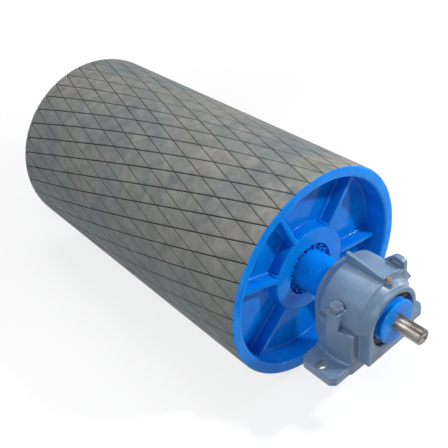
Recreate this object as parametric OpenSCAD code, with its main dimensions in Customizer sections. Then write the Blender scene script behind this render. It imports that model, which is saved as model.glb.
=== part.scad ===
// Lagged conveyor pulley drum on two split plummer blocks.
// X runs along the shaft towards the drive end, Z is up, the origin is the middle of the drum on its axis.

/* [Drum] */
// Length of the lagged face
face_len = 1150; // [900:10:1600]
// Outside diameter of the steel shell
shell_dia = 630; // [600:10:760]
// Wall of the steel shell
shell_wall = 20; // [12:1:24]
// Chamfer inside each end of the shell
shell_chamfer = 4; // [1:0.5:8]
// Thickness of the rubber lagging
lagging_t = 15; // [10:1:25]
// Depth of the grooves in the lagging
groove_depth = 7; // [3:0.5:9]
// Width of the grooves at the surface
groove_w = 8; // [4:0.5:12]
// Grooves round the drum in each direction
groove_starts = 38; // [30:1:46]
// Half diamonds along the face
groove_rows = 12; // [8:2:18]

/* [End discs] */
// Depth of the end disc's face behind the end of the shell
disc_recess = 75; // [62:1:110]
// Thickness of the end disc
disc_t = 25; // [14:1:40]
// Fillet of the end disc at the hub and at the shell
disc_fillet = 12; // [6:1:18]
// Depth of the hub's face behind the end of the shell
hub_recess = 35; // [20:1:45]
// Wall of the hub round the clamping element
hub_wall = 50.5; // [30:0.5:70]
// Length of the hub
hub_len = 150; // [110:1:220]
// Thickness of each radial rib
rib_t = 14; // [8:1:24]
// Angle of each rib round the shaft, as welded in
rib_angles = [-8, 52, 113, 164, 222, 292];
// Thickness of the stiffening ring inside the shell
mid_ring_t = 16; // [8:1:30]
// Height of the stiffening ring inside the shell
mid_ring_h = 50; // [20:1:90]

/* [Shaft] */
// Diameter of the shaft through the hubs
shaft_dia = 120; // [110:1:136]
// Height of the shaft's shoulders beside the bearings
shoulder_h = 10; // [6:1:14]
// Distance from the end of the face to the middle of a bearing
bearing_offset = 165; // [150:1:220]
// Diameter of the bare stub at the drive end
stub_dia = 45; // [30:1:60]
// Length of the stub outside its flinger
stub_len = 80; // [40:1:160]
// Diameter of the centre drilling in the stub
centre_drill_dia = 10; // [4:1:16]
// Edge chamfer on the shaft
shaft_chamfer = 3; // [1:0.5:6]

/* [Clamping element] */
// Height of the clamping element between shaft and hub
clamp_section = 22.5; // [20:0.5:30]
// Length of the clamping element
clamp_len = 46; // [40:1:60]
// Depth of the clamping screws' heads behind the hub's face
clamp_recess = 3; // [1:1:10]
// Number of clamping screws
clamp_screw_count = 16; // [8:1:20]
// Thread of the clamping screws
clamp_screw_dia = 10; // [6:1:10]

/* [Bearing] */
// Wall of the adapter sleeve at its thin end
sleeve_wall = 5; // [3:0.5:8]
// Height of the bearing from its bore to its outside
bearing_section = 45; // [44:0.5:50]
// Width of the bearing
bearing_w = 53; // [50:1:60]
// Diameter of a roller
roller_dia = 22; // [16:1:23]
// Length of a roller
roller_len = 19; // [14:1:20]
// Rollers in each row
roller_count = 18; // [14:1:19]
// Height of the rollers' middle over the bearing's bore
roller_rise = 22; // [21:0.5:23]
// Tilt of the roller rows
contact_angle = 9; // [8:0.5:11]
// Height of the lock nut over the bearing's bore
nut_h = 17.5; // [12:0.5:20]
// Width of the lock nut
nut_w = 21; // [14:1:24]

/* [Housing] */
// Height of the shaft over the foot
centre_h = 140; // [136:1:200]
// Metal between a bolt slot and the foot's end
foot_end = 7; // [4:1:40]
// Width of the foot
foot_w = 120; // [90:1:124]
// Thickness of the foot
foot_t = 32; // [20:1:34]
// Spacing of the foot's bolt slots
slot_span = 340; // [330:1:400]
// Width of a bolt slot
slot_w = 26; // [18:1:34]
// Length of a bolt slot
slot_len = 36; // [36:1:46]
// Wall of the housing at each side of the bearing seat
seat_wall = 22.5; // [15:0.5:30]
// Wall of the cap over the bearing
body_wall = 12; // [8:1:20]
// Ledge of the base beside the cap
base_ledge = 10; // [4:1:14]
// Wall of the housing's noses round the seal grooves
nose_wall = 11; // [8:1:16]
// Space at each side of the bearing in its seat
seat_float = 13.5; // [8:0.5:16]
// Gap between a flinger and the housing's shaft opening
seal_wall = 15; // [10:1:20]
// Width of the seal grooves
seal_w = 10; // [6:1:14]
// Depth of the seal grooves
seal_groove = 4; // [2:0.5:6]
// Distance of the seal grooves from the housing's ends
seal_inset = 14; // [6:1:20]
// Thread of the cap bolts
cap_bolt_dia = 24; // [16:1:24]
// Metal between a cap bolt's hole and the bearing seat
bolt_web = 1; // [1:0.5:6]
// Edge of the bolt pillars beside a bolt's head
pillar_edge = 2; // [1:0.5:8]
// Wall of the bolt pillars outside the bolts
pillar_wall = 6; // [4:1:10]
// Height of the bolt pillars on the cap
pillar_h = 54; // [40:1:60]
// Height of the raised pad on one side of the cap
pad_rise = 15; // [6:1:18]
// Height of the rib along the pad's edge, at its high end
cap_rib_rise = 34; // [20:1:38]
// Thickness of the rib along the pad's edge
cap_rib_t = 12; // [6:1:20]
// Height of the lifting lug over the pad
lug_rise = 7; // [2:1:20]
// Length of the lifting lug
lug_len = 70; // [64:1:84]
// Thickness of the lifting lug
lug_t = 18; // [10:1:24]
// Diameter of the dowels between base and cap
dowel_dia = 8; // [4:1:9]

/* [Flingers] */
// Wall of the flinger rings
flinger_wall = 15; // [10:1:20]
// How far the drive end flinger stands out of the housing
flinger_out = 13; // [4:1:24]
// Rounding of the drive end flinger
flinger_round = 10; // [3:1:12]
// Running gap between a seal and its flinger
seal_gap = 0.3; // [0.2:0.05:1]

/* [Hidden] */

$fn = 96;
eps = 1;
shell_r = shell_dia / 2;
shell_in = shell_r - shell_wall;
drum_r = shell_r + lagging_t;
half_face = face_len / 2;
bearing_x = half_face + bearing_offset;
shaft_r = shaft_dia / 2;
seat_r = shaft_r - shoulder_h;
clamp_r = shaft_r + clamp_section;
hub_r = clamp_r + hub_wall;
bore_r = seat_r + sleeve_wall;
bearing_r = bore_r + bearing_section;
half_bearing = bearing_w / 2;
flinger_r = seat_r + flinger_wall;
seal_bore_r = flinger_r + seal_wall;
seal_out_r = seal_bore_r + seal_groove;
nose_r = seal_out_r + nose_wall;
body_r = bearing_r + body_wall;
pad_r = body_r + pad_rise;
base_half = body_r + base_ledge;
// Distances from the middle of a bearing, outwards along the shaft.
washer_t = 2;
washer_lip = 4;
flinger_gap = 6.5;
flinger_run = 12;
nut_start = half_bearing + washer_t;
sleeve_end = nut_start + nut_w + washer_lip;
flinger_back = sleeve_end + flinger_gap;
seal_x = flinger_back + flinger_run;
half_housing = seal_x + seal_w + seal_inset;
half_seat = half_bearing + seat_float;
half_body = half_seat + seat_wall;
foot_top = foot_t - centre_h;
fit_gap = 0.05;

blue_paint = [0.02, 0.40, 0.85];
casting_grey = [0.45, 0.50, 0.56];
rubber_grey = [0.45, 0.47, 0.47];
bare_steel = [0.62, 0.60, 0.57];
ground_steel = [0.74, 0.75, 0.77];
zinc_steel = [0.60, 0.60, 0.58];
brass = [0.75, 0.60, 0.30];
seal_black = [0.08, 0.08, 0.08];

// Solid turned about X from a list of [radius, x] points.
module turned(points) {
    rotate([0, 90, 0]) rotate_extrude() polygon(points);
}

// Round bar along X from x0 to x1.
module bar(r, x0, x1) {
    translate([x0, 0, 0]) rotate([0, 90, 0]) cylinder(r = r, h = x1 - x0);
}

// Plain ring about X.
module ring(r_in, r_out, x0, x1) {
    turned([[r_in, x0], [r_out, x0], [r_out, x1], [r_in, x1]]);
}

// Box between two corners.
module block(low, high) {
    translate(low) cube(high - low);
}

// Frame at one end of the drum's face, with +X pointing outwards.
module drum_end(side) {
    translate([side * half_face, 0, 0]) rotate([0, 0, side > 0 ? 0 : 180]) children();
}

// Frame at the middle of one bearing, with +X pointing outwards.
module bearing_station(side) {
    translate([side * bearing_x, 0, 0]) rotate([0, 0, side > 0 ? 0 : 180]) children();
}

// Points of an arc about (cx, cy) from angle a0 to a1.
function arc(cx, cy, r, a0, a1, n = 6) = [for (i = [0:n]) let (a = a0 + (a1 - a0) * i / n)
    [cx + r * cos(a), cy + r * sin(a)]];

// ---- Shell and lagging ----

module shell() {
    color(blue_paint) turned([
        [shell_in + shell_chamfer, -half_face], [shell_r, -half_face],
        [shell_r, half_face], [shell_in + shell_chamfer, half_face],
        [shell_in, half_face - shell_chamfer], [shell_in, shell_chamfer - half_face]]);
}

groove_step = 360 / groove_starts;
row_len = face_len / groove_rows;
groove_slope = atan(drum_r * groove_step / 2 * PI / 180 / row_len);
long_inset = groove_w / 2 / sin(groove_slope);
short_inset = groove_w / 2 / cos(groove_slope) / drum_r * 180 / PI;

function on_drum(x, a, r) = [x, r * cos(a), r * sin(a)];
function row_x(k) = -half_face + k * row_len;
// Angle of groove crossing i in row k, and of diamond i centred on row k.
function crossing_a(k, i) = (i + (k % 2) / 2) * groove_step;
function diamond_a(k, i) = crossing_a(k, i) + groove_step / 2;

// Points: groove crossings, then the four corners of every diamond.
crossings = [for (k = [0:groove_rows]) for (i = [0:groove_starts - 1])
    on_drum(row_x(k), crossing_a(k, i), drum_r - groove_depth)];
corners = [for (k = [0:groove_rows]) for (i = [0:groove_starts - 1]) for (c = [0:3])
    let (a = diamond_a(k, i), half = groove_step / 2 - short_inset)
    c == 0 ? on_drum(max(row_x(k - 1) + long_inset, row_x(0)), a, drum_r) :
    c == 1 ? on_drum(row_x(k), a - half, drum_r) :
    c == 2 ? on_drum(min(row_x(k + 1) - long_inset, row_x(groove_rows)), a, drum_r) :
    on_drum(row_x(k), a + half, drum_r)];
function wrap(i) = (i + groove_starts) % groove_starts;
function crossing(k, i) = k * groove_starts + wrap(i);
function corner(k, i, c) = len(crossings) + 4 * (k * groove_starts + wrap(i)) + c;
// Crossings left and right of diamond i of row k lie one row away at the same angle.
function beside(k, i, step) = crossing(k + step, i + k % 2);
// Outer surface of one diamond: its pad, then the groove walls on its left and on its right.
function pad(k, i) = [
    [corner(k, i, 0), corner(k, i, 1), corner(k, i, 2)],
    [corner(k, i, 0), corner(k, i, 2), corner(k, i, 3)]];
function left_walls(k, i) = [
    [beside(k, i, -1), crossing(k, i), corner(k, i, 1)],
    [beside(k, i, -1), corner(k, i, 1), corner(k, i, 0)],
    [beside(k, i, -1), corner(k, i, 0), corner(k, i, 3)],
    [beside(k, i, -1), corner(k, i, 3), crossing(k, i + 1)]];
function right_walls(k, i) = [
    [crossing(k, i), beside(k, i, 1), corner(k, i, 2)],
    [crossing(k, i), corner(k, i, 2), corner(k, i, 1)],
    [beside(k, i, 1), crossing(k, i + 1), corner(k, i, 3)],
    [beside(k, i, 1), corner(k, i, 3), corner(k, i, 2)]];
starts = [0:groove_starts - 1];
last_row = groove_rows;
// Outlines of the two ends in order of angle, and the bore's corners, which clear the round shell.
function outline(k) = [for (i = starts) each [
    crossing(k, i), corner(k, i, 1), corner(k, i, k == 0 ? 0 : 2), corner(k, i, 3)]];
free_outline = outline(0);
drive_outline = outline(last_row);
bore_count = len(free_outline);
bore_step = 360 / bore_count;
bore_corners = [for (x = [row_x(0), row_x(last_row)]) for (j = [0:bore_count - 1])
    on_drum(x, j * bore_step, shell_r / cos(bore_step / 2))];
function next(j) = (j + 1) % bore_count;
function free_bore(j) = len(crossings) + len(corners) + j;
function drive_bore(j) = free_bore(j) + bore_count;

module lagging() {
    faces = [
        for (k = [0:last_row]) for (i = starts) each pad(k, i),
        for (k = [1:last_row]) for (i = starts) each left_walls(k, i),
        for (k = [0:last_row - 1]) for (i = starts) each right_walls(k, i),
        for (j = [0:bore_count - 1]) each [
            [free_outline[j], free_outline[next(j)], free_bore(next(j)), free_bore(j)],
            [drive_outline[next(j)], drive_outline[j], drive_bore(j), drive_bore(next(j))],
            [free_bore(j), free_bore(next(j)), drive_bore(next(j)), drive_bore(j)]]];
    color(rubber_grey) polyhedron(points = concat(crossings, corners, bore_corners), faces = faces);
}

module stiffening_ring() {
    color(blue_paint) ring(shell_in - mid_ring_h, shell_in, -mid_ring_t / 2, mid_ring_t / 2);
}

// ---- End discs, hubs and ribs, in the frame of one end of the face ----

module end_disc() {
    color(blue_paint) turned(concat(
        [[hub_r, -disc_recess - disc_t], [shell_in, -disc_recess - disc_t]],
        arc(shell_in - disc_fillet, disc_fillet - disc_recess, disc_fillet, 0, -90),
        arc(hub_r + disc_fillet, disc_fillet - disc_recess, disc_fillet, -90, -180)));
}

hub_edge = 3;
hub_bore_gap = 0.2;
clamp_screw_r = clamp_screw_dia / 2;
screw_head_share = 0.8;
screw_head_rise = 0.9;
screw_socket_share = 0.92;
clamp_head_r = screw_head_share * clamp_screw_dia;
clamp_head_h = screw_head_rise * clamp_screw_dia;
clamp_front = -hub_recess - clamp_recess - clamp_head_h;
clamp_back = clamp_front - clamp_len;

module hub() {
    color(blue_paint) turned([
        [clamp_r, -hub_recess], [hub_r - hub_edge, -hub_recess], [hub_r, -hub_recess - hub_edge],
        [hub_r, -hub_recess - hub_len], [shaft_r + hub_bore_gap, -hub_recess - hub_len],
        [shaft_r + hub_bore_gap, clamp_back], [clamp_r, clamp_back]]);
}

module ribs() {
    color(blue_paint) for (a = rib_angles) rotate([a, 0, 0]) intersection() {
        translate([0, 0, -rib_t / 2]) linear_extrude(rib_t) polygon([
            [-disc_recess, hub_r + disc_fillet], [disc_fillet - disc_recess, hub_r - eps],
            [-hub_recess, hub_r - eps], [-hub_recess, shell_in + eps],
            [disc_fillet - disc_recess, shell_in + eps], [-disc_recess, shell_in - disc_fillet]]);
        ring(hub_r, shell_in, -disc_recess - eps, eps - hub_recess);
    }
}

// ---- Clamping element between hub and shaft ----

clamp_wall = 3;
clamp_rise = 2;
clamp_wedge_share = 0.42;
wedge_len = clamp_len * clamp_wedge_share;
wedge_rise = clamp_rise * 2 * clamp_wedge_share;
clamp_slit = 3;
clamp_screw_ring_r = (shaft_r + clamp_r) / 2;
clamp_middle = (clamp_front + clamp_back) / 2;

module clamp_inner_ring() {
    color(ground_steel) difference() {
        turned([
            [shaft_r, clamp_front], [shaft_r + clamp_wall, clamp_front],
            [shaft_r + clamp_wall + clamp_rise, clamp_middle],
            [shaft_r + clamp_wall, clamp_back], [shaft_r, clamp_back]]);
        block([clamp_back - eps, -clamp_slit / 2, 0], [clamp_front + eps, clamp_slit / 2, clamp_r]);
    }
}

module clamp_outer_ring() {
    color(ground_steel) difference() {
        turned([
            [clamp_r, clamp_front], [clamp_r - clamp_wall, clamp_front],
            [clamp_r - clamp_wall - clamp_rise, clamp_middle],
            [clamp_r - clamp_wall, clamp_back], [clamp_r, clamp_back]]);
        block([clamp_back - eps, -clamp_slit / 2, -clamp_r - eps], [clamp_front + eps, clamp_slit / 2, 0]);
    }
}

// One wedge ring; wide is its face at the element's end and narrow its face at the middle.
module clamp_wedge(wide, narrow, hole_r) {
    color(ground_steel) difference() {
        turned([
            [shaft_r + clamp_wall, wide], [clamp_r - clamp_wall, wide],
            [clamp_r - clamp_wall - wedge_rise, narrow], [shaft_r + clamp_wall + wedge_rise, narrow]]);
        clamp_screw_places() bar(hole_r, clamp_back - eps, clamp_front + eps);
    }
}

module clamp_screw_places() {
    for (i = [0:clamp_screw_count - 1]) rotate([i * 360 / clamp_screw_count, 0, 0])
        translate([0, clamp_screw_ring_r, 0]) children();
}

module clamp_screws_once() {
    color(zinc_steel) clamp_screw_places() difference() {
        union() {
            bar(clamp_head_r, clamp_front, clamp_front + clamp_head_h);
            bar(clamp_screw_r, clamp_back, clamp_front + eps);
        }
        translate([clamp_front + clamp_head_h / 2, 0, 0]) rotate([0, 90, 0])
            cylinder(r = clamp_screw_r * screw_socket_share, h = clamp_head_h, $fn = 6);
    }
}

// ---- Shaft ----

shoulder_gap = 8;
shaft_shoulder = bearing_x - half_housing - shoulder_gap;
stub_r = stub_dia / 2;
stub_root = 1;
stub_root_r = stub_r + stub_root;
stub_start = bearing_x + half_housing + flinger_out;
stub_step = bearing_x + half_housing + shaft_chamfer;
stub_tip = stub_start + stub_len;
free_tip = bearing_x + seal_x - shoulder_gap;
drill_r = centre_drill_dia / 2;
drill_depth = 2 * centre_drill_dia;

module shaft() {
    color(blue_paint) turned([
        [0, -free_tip], [seat_r - shaft_chamfer, -free_tip], [seat_r, shaft_chamfer - free_tip],
        [seat_r, -shaft_shoulder], [shaft_r - shaft_chamfer, -shaft_shoulder],
        [shaft_r, shaft_chamfer - shaft_shoulder], [shaft_r, shaft_shoulder - shaft_chamfer],
        [shaft_r - shaft_chamfer, shaft_shoulder], [seat_r, shaft_shoulder],
        [seat_r, stub_step], [stub_root_r, stub_step], [stub_root_r, stub_start],
        [stub_r, stub_start], [stub_r, stub_tip - shaft_chamfer],
        [stub_r - shaft_chamfer, stub_tip], [drill_r, stub_tip], [drill_r / 2, stub_tip - drill_r],
        [drill_r / 2, stub_tip - drill_depth], [0, stub_tip - drill_depth]]);
}

// ---- Bearing, in the frame of one station ----

roller_pitch_r = bore_r + roller_rise;
roller_r = roller_dia / 2;
race_gap = 0.05;
race_r = roller_pitch_r + roller_r + race_gap;
race_run_out = 0.8;
race_swing = asin((roller_len / 2 + race_run_out) / race_r);
inner_lip = 2;
lip_gap = 0.3;
cage_t = 5;
cage_half_w = half_bearing - 2;
pocket_gap = 0.25;
nut_r = bore_r + nut_h;
sleeve_tail = 10;
sleeve_slit = 4;
nut_slot_w = 14;
nut_slot_depth = 6;

// Radius of the bearing's 1:12 taper at x.
taper_run = 24;
function taper_r(x) = bore_r + (half_bearing - x) / taper_run;
// Point of the inner race of the outboard row, from its outer edge to the middle, and of the other row.
function race_point(a) = [
    2 * roller_pitch_r * cos(contact_angle) - race_r * cos(contact_angle + a),
    2 * roller_pitch_r * sin(contact_angle) - race_r * sin(contact_angle + a)];
race_steps = 8;
outboard_race = [for (i = [0:race_steps]) race_point(race_swing * (2 * i / race_steps - 1))];
inboard_race = [for (i = [0:race_steps]) let (p = outboard_race[race_steps - i]) [p[0], -p[1]]];
lip_r = outboard_race[0][0] + inner_lip;
lip_x = outboard_race[0][1] + lip_gap;

module bearing_inner_ring() {
    color(ground_steel) turned(concat(
        [[taper_r(-half_bearing), -half_bearing], [taper_r(half_bearing), half_bearing],
            [lip_r, half_bearing], [lip_r, lip_x]],
        outboard_race, inboard_race,
        [[lip_r, -lip_x], [lip_r, -half_bearing]]));
}

module bearing_outer_ring() {
    color(ground_steel) difference() {
        bar(bearing_r, -half_bearing, half_bearing);
        sphere(r = race_r);
    }
}

roller_steps = 6;
module roller() {
    barrel_r = roller_pitch_r + roller_r;
    rotate([0, 90, 0]) rotate_extrude() polygon(concat(
        [[0, -roller_len / 2]],
        [for (i = [0:roller_steps]) let (t = roller_len * (i / roller_steps - 0.5))
            [sqrt(barrel_r * barrel_r - t * t) - roller_pitch_r, t]],
        [[0, roller_len / 2]]));
}

// Places of all rollers: two tilted rows, half a pitch apart.
module roller_places() {
    for (row = [0, 1]) mirror([row, 0, 0]) for (i = [0:roller_count - 1])
        rotate([(i + row / 2) * 360 / roller_count, 0, 0])
            translate([roller_pitch_r * sin(contact_angle), roller_pitch_r * cos(contact_angle), 0])
                rotate([0, 0, -contact_angle]) children();
}

module rollers() {
    color(ground_steel) roller_places() roller();
}

module cage() {
    mid_r = roller_pitch_r * cos(contact_angle) + roller_pitch_r * sin(contact_angle) * tan(contact_angle);
    end_r = mid_r - cage_half_w * tan(contact_angle);
    pocket_half = roller_len / 2 + pocket_gap;
    color(brass) difference() {
        turned([
            [end_r - cage_t / 2, -cage_half_w], [end_r + cage_t / 2, -cage_half_w],
            [mid_r + cage_t / 2, 0], [end_r + cage_t / 2, cage_half_w],
            [end_r - cage_t / 2, cage_half_w], [mid_r - cage_t / 2, 0]]);
        roller_places() bar(roller_r + pocket_gap, -pocket_half, pocket_half);
    }
}

module adapter_sleeve() {
    tail = -half_bearing - sleeve_tail;
    color(ground_steel) difference() {
        turned([
            [seat_r, tail], [taper_r(tail), tail], [bore_r, half_bearing],
            [bore_r, sleeve_end], [seat_r, sleeve_end]]);
        block([tail - eps, -sleeve_slit / 2, 0], [sleeve_end + eps, sleeve_slit / 2, bearing_r]);
    }
}

module lock_washer() {
    color(zinc_steel) ring(bore_r, nut_r + washer_lip, half_bearing, nut_start);
}

module lock_nut() {
    color(zinc_steel) difference() {
        ring(bore_r, nut_r, nut_start, nut_start + nut_w);
        for (a = [0, 90, 180, 270]) rotate([a, 0, 0])
            block([nut_start - eps, nut_r - nut_slot_depth, -nut_slot_w / 2],
                [nut_start + nut_w + eps, nut_r + eps, nut_slot_w / 2]);
    }
}

// ---- Flingers, seals and covers, in the frame of one station ----

module flinger_outer() {
    face = half_housing + flinger_out;
    color(blue_paint) turned(concat(
        [[seat_r, flinger_back], [flinger_r, flinger_back]],
        arc(flinger_r - flinger_round, face - flinger_round, flinger_round, 0, 90),
        [[stub_root_r, face], [stub_root_r, stub_step - bearing_x], [seat_r, stub_step - bearing_x]]));
}

module flinger_inner() {
    color(blue_paint) ring(seat_r, flinger_r, -half_housing - shoulder_gap, -flinger_back);
}

module seal_ring(inboard) {
    mirror([inboard, 0, 0]) color(seal_black)
        ring(flinger_r + seal_gap, seal_out_r, seal_x, seal_x + seal_w);
}

cover_lip = 4;
cover_gap = 1;
module end_cover() {
    color(casting_grey) turned([
        [0, seal_x], [seal_out_r, seal_x], [seal_out_r, seal_x + seal_w],
        [seal_bore_r - cover_gap, seal_x + seal_w], [seal_bore_r - cover_gap, seal_x + seal_w + cover_lip],
        [0, seal_x + seal_w + cover_lip]]);
}

locating_h = 8;
module locating_ring(inboard) {
    mirror([inboard, 0, 0]) color(ground_steel)
        ring(bearing_r - locating_h, bearing_r, half_bearing, half_seat);
}

// ---- Housing, in the frame of one station ----

foot_corner = 14;
bolt_r = cap_bolt_dia / 2;
bolt_clear = 1;
bolt_y = bearing_r + bolt_web + bolt_clear + bolt_r;
pillar_y = bolt_y + bolt_r + pillar_wall;
bolt_depth = 45;
hex_across_flats = 1.5;
hex_rise = 0.625;
bolt_head_r = hex_across_flats * bolt_r / cos(30);
bolt_head_h = hex_rise * cap_bolt_dia;
pillar_x = hex_across_flats * bolt_r + pillar_edge;
cap_rib_edge = 8;
cap_rib_h = body_r + cap_rib_rise;
lug_h = pad_r + lug_rise;
foot_y = slot_span / 2 + slot_len / 2 + foot_end;
dowel_edge = 10;
dowel_x = half_body - dowel_edge;
dowel_y = (bearing_r + body_r) / 2;
dowel_half = 14;
lug_set_in = 38;
lug_y = body_r - lug_set_in;
lug_root = 40;
lug_bar = 16;
lug_eye_h = 12;
lug_leg = 8;
lug_slope = 38;
lug_corner = 12;
nipple_r = 4;
nipple_hex_r = 6.5;
nipple_x = half_body + nipple_hex_r + bolt_clear;
nipple_y = 6;
nipple_hex_h = 6;
nipple_tip_r = 3;
nipple_tip_h = 12;
nipple_boss_r = 9;
nipple_boss_h = 21;
nipple_seat = nose_r + nipple_boss_h;

// Everything turned out of both halves in one setting.
module housing_bores() {
    bar(bearing_r + fit_gap, -half_seat, half_seat);
    bar(seal_bore_r, -half_housing - eps, half_housing + eps);
    for (side = [0, 1]) mirror([side, 0, 0]) bar(seal_out_r, seal_x, seal_x + seal_w);
}

module bolt_places() {
    for (side = [-1, 1]) translate([0, side * bolt_y, 0]) children();
}

module dowel_places() {
    for (side = [-1, 1]) translate([side * dowel_x, side * dowel_y, 0]) children();
}

module upright(r, z0, z1) {
    translate([0, 0, z0]) cylinder(r = r, h = z1 - z0);
}

module foot_outline() {
    x = foot_w / 2;
    y = foot_y;
    polygon([
        [-x, foot_corner - y], [foot_corner - x, -y], [x - foot_corner, -y], [x, foot_corner - y],
        [x, y - foot_corner], [x - foot_corner, y], [foot_corner - x, y], [-x, y - foot_corner]]);
}

module foot_slot() {
    run = (slot_len - slot_w) / 2;
    for (end = [-run, run]) translate([0, end, 0]) upright(slot_w / 2, -centre_h - eps, foot_top + eps);
    block([-slot_w / 2, -run, -centre_h - eps], [slot_w / 2, run, foot_top + eps]);
}

// The base's sides slant from its corners out to the bolts.
module base_outline() {
    polygon([
        [-half_body, -base_half], [-pillar_x, -pillar_y], [pillar_x, -pillar_y], [half_body, -base_half],
        [half_body, base_half], [pillar_x, pillar_y], [-pillar_x, pillar_y], [-half_body, base_half]]);
}

module housing_base() {
    color(casting_grey) difference() {
        union() {
            translate([0, 0, -centre_h]) linear_extrude(foot_t) foot_outline();
            translate([0, 0, foot_top - eps]) linear_extrude(eps - foot_top) base_outline();
            block([-half_housing, -nose_r, foot_top - eps], [half_housing, nose_r, 0]);
        }
        housing_bores();
        for (side = [-1, 1]) translate([0, side * slot_span / 2, 0]) foot_slot();
        bolt_places() upright(bolt_r, -bolt_depth, eps);
        dowel_places() upright(dowel_dia / 2, -dowel_half, eps);
    }
}

// Half barrel over the shaft.
module arch(r, half_len) {
    intersection() {
        bar(r, -half_len, half_len);
        block([-half_len - eps, -r - eps, 0], [half_len + eps, r + eps, r + eps]);
    }
}

// Upright plate along the shaft, from an outline of [x, z] points.
module plate_along(y, t) {
    translate([0, y + t, 0]) rotate([90, 0, 0]) linear_extrude(t) children();
}

// Raised pad over one side of the cap.
module cap_pad() {
    intersection() {
        arch(pad_r, half_body);
        block([-half_body, -cap_rib_edge, pillar_h], [half_body, pad_r + eps, pad_r + eps]);
    }
}

// Rib along the pad's edge, which runs down to the pad.
module cap_rib_outline() {
    polygon([
        [-half_body, seal_bore_r], [half_body, seal_bore_r],
        [half_body, pad_r + eps], [-half_body, cap_rib_h]]);
}

module lug_outline() {
    lug_x = half_body - lug_len;
    polygon([
        [lug_x, lug_root], [half_body, lug_root], [half_body, lug_h - lug_leg],
        [half_body - lug_corner, lug_h], [lug_x + lug_slope, lug_h], [lug_x, lug_h - lug_slope]]);
}

module lug_window() {
    lug_x = half_body - lug_len;
    block([lug_x + lug_slope - lug_corner, lug_y - eps, lug_h - lug_bar - lug_eye_h],
        [half_body - lug_leg, lug_y + lug_t + eps, lug_h - lug_bar]);
}

module housing_cap() {
    color(casting_grey) difference() {
        union() {
            arch(body_r, half_body);
            arch(nose_r, half_housing);
            cap_pad();
            block([-pillar_x, -pillar_y, 0], [pillar_x, pillar_y, pillar_h]);
            plate_along(-cap_rib_edge, cap_rib_t) cap_rib_outline();
            plate_along(lug_y, lug_t) lug_outline();
            translate([nipple_x, nipple_y, 0]) upright(nipple_boss_r, seal_bore_r, nipple_seat);
        }
        housing_bores();
        lug_window();
        bolt_places() upright(bolt_r + bolt_clear, -eps, pillar_h + eps);
        bolt_places() upright(bolt_head_r + bolt_clear / 2, pillar_h, lug_h);
        dowel_places() upright(dowel_dia / 2, -eps, dowel_half);
        translate([nipple_x, nipple_y, 0]) upright(nipple_r, nose_r, nipple_seat + eps);
    }
}

module cap_bolt_pair() {
    color(zinc_steel) bolt_places() {
        upright(bolt_r, -bolt_depth, pillar_h + eps);
        translate([0, 0, pillar_h]) cylinder(r = bolt_head_r, h = bolt_head_h, $fn = 6);
    }
}

module dowel_pair() {
    color(ground_steel) dowel_places() upright(dowel_dia / 2, -dowel_half, dowel_half);
}

module grease_nipple() {
    color(brass) translate([nipple_x, nipple_y, 0]) {
        upright(nipple_r, nose_r, nipple_seat + eps);
        translate([0, 0, nipple_seat]) cylinder(r = nipple_hex_r, h = nipple_hex_h, $fn = 6);
        upright(nipple_tip_r, nipple_seat, nipple_seat + nipple_tip_h);
    }
}

// ---- Nodes ----

module both_ends() {
    for (side = [-1, 1]) drum_end(side) children();
}

module both_stations() {
    for (side = [-1, 1]) bearing_station(side) children();
}

shell();
lagging();
stiffening_ring();
drum_end(1) end_disc();  // end_disc_drive
drum_end(-1) end_disc();  // end_disc_free
drum_end(1) hub();  // hub_drive
drum_end(-1) hub();  // hub_free
drum_end(1) ribs();  // ribs_drive
drum_end(-1) ribs();  // ribs_free
shaft();
both_ends() clamp_inner_ring();  // clamp_inner_rings
both_ends() clamp_outer_ring();  // clamp_outer_rings
both_ends() clamp_wedge(clamp_front, clamp_front - wedge_len, clamp_screw_r + hub_bore_gap);  // clamp_front_rings
both_ends() clamp_wedge(clamp_back, clamp_back + wedge_len, clamp_screw_r);  // clamp_rear_rings
both_ends() clamp_screws_once();  // clamp_screws
bearing_station(1) bearing_inner_ring();  // bearing_inner_ring_drive
bearing_station(-1) bearing_inner_ring();  // bearing_inner_ring_free
both_stations() adapter_sleeve();  // adapter_sleeves
both_stations() lock_nut();  // lock_nuts
both_stations() lock_washer();  // lock_washers
bearing_station(1) flinger_outer();  // flinger_drive_outer
bearing_station(1) flinger_inner();  // flinger_drive_inner
bearing_station(-1) flinger_inner();  // flinger_free_inner
bearing_station(1) cage();  // cage_drive
bearing_station(-1) cage();  // cage_free
bearing_station(1) rollers();  // rollers_drive
bearing_station(-1) rollers();  // rollers_free
bearing_station(1) bearing_outer_ring();  // bearing_outer_ring_drive
bearing_station(-1) bearing_outer_ring();  // bearing_outer_ring_free
for (side = [0, 1]) bearing_station(1) locating_ring(side);  // locating_rings
bearing_station(1) housing_base();  // housing_base_drive
bearing_station(1) housing_cap();  // housing_cap_drive
bearing_station(-1) housing_base();  // housing_base_free
bearing_station(-1) housing_cap();  // housing_cap_free
both_stations() cap_bolt_pair();  // cap_bolts
both_stations() dowel_pair();  // cap_dowels
union() {  // seal_rings
    both_stations() seal_ring(1);
    bearing_station(1) seal_ring(0);
}
bearing_station(-1) end_cover();  // end_cover_free
both_stations() grease_nipple();  // grease_nipples
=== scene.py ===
"""Dresses the conveyor pulley drum: grooved lagging, welded ends, shaft, cast bearing housings and stage."""

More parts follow.
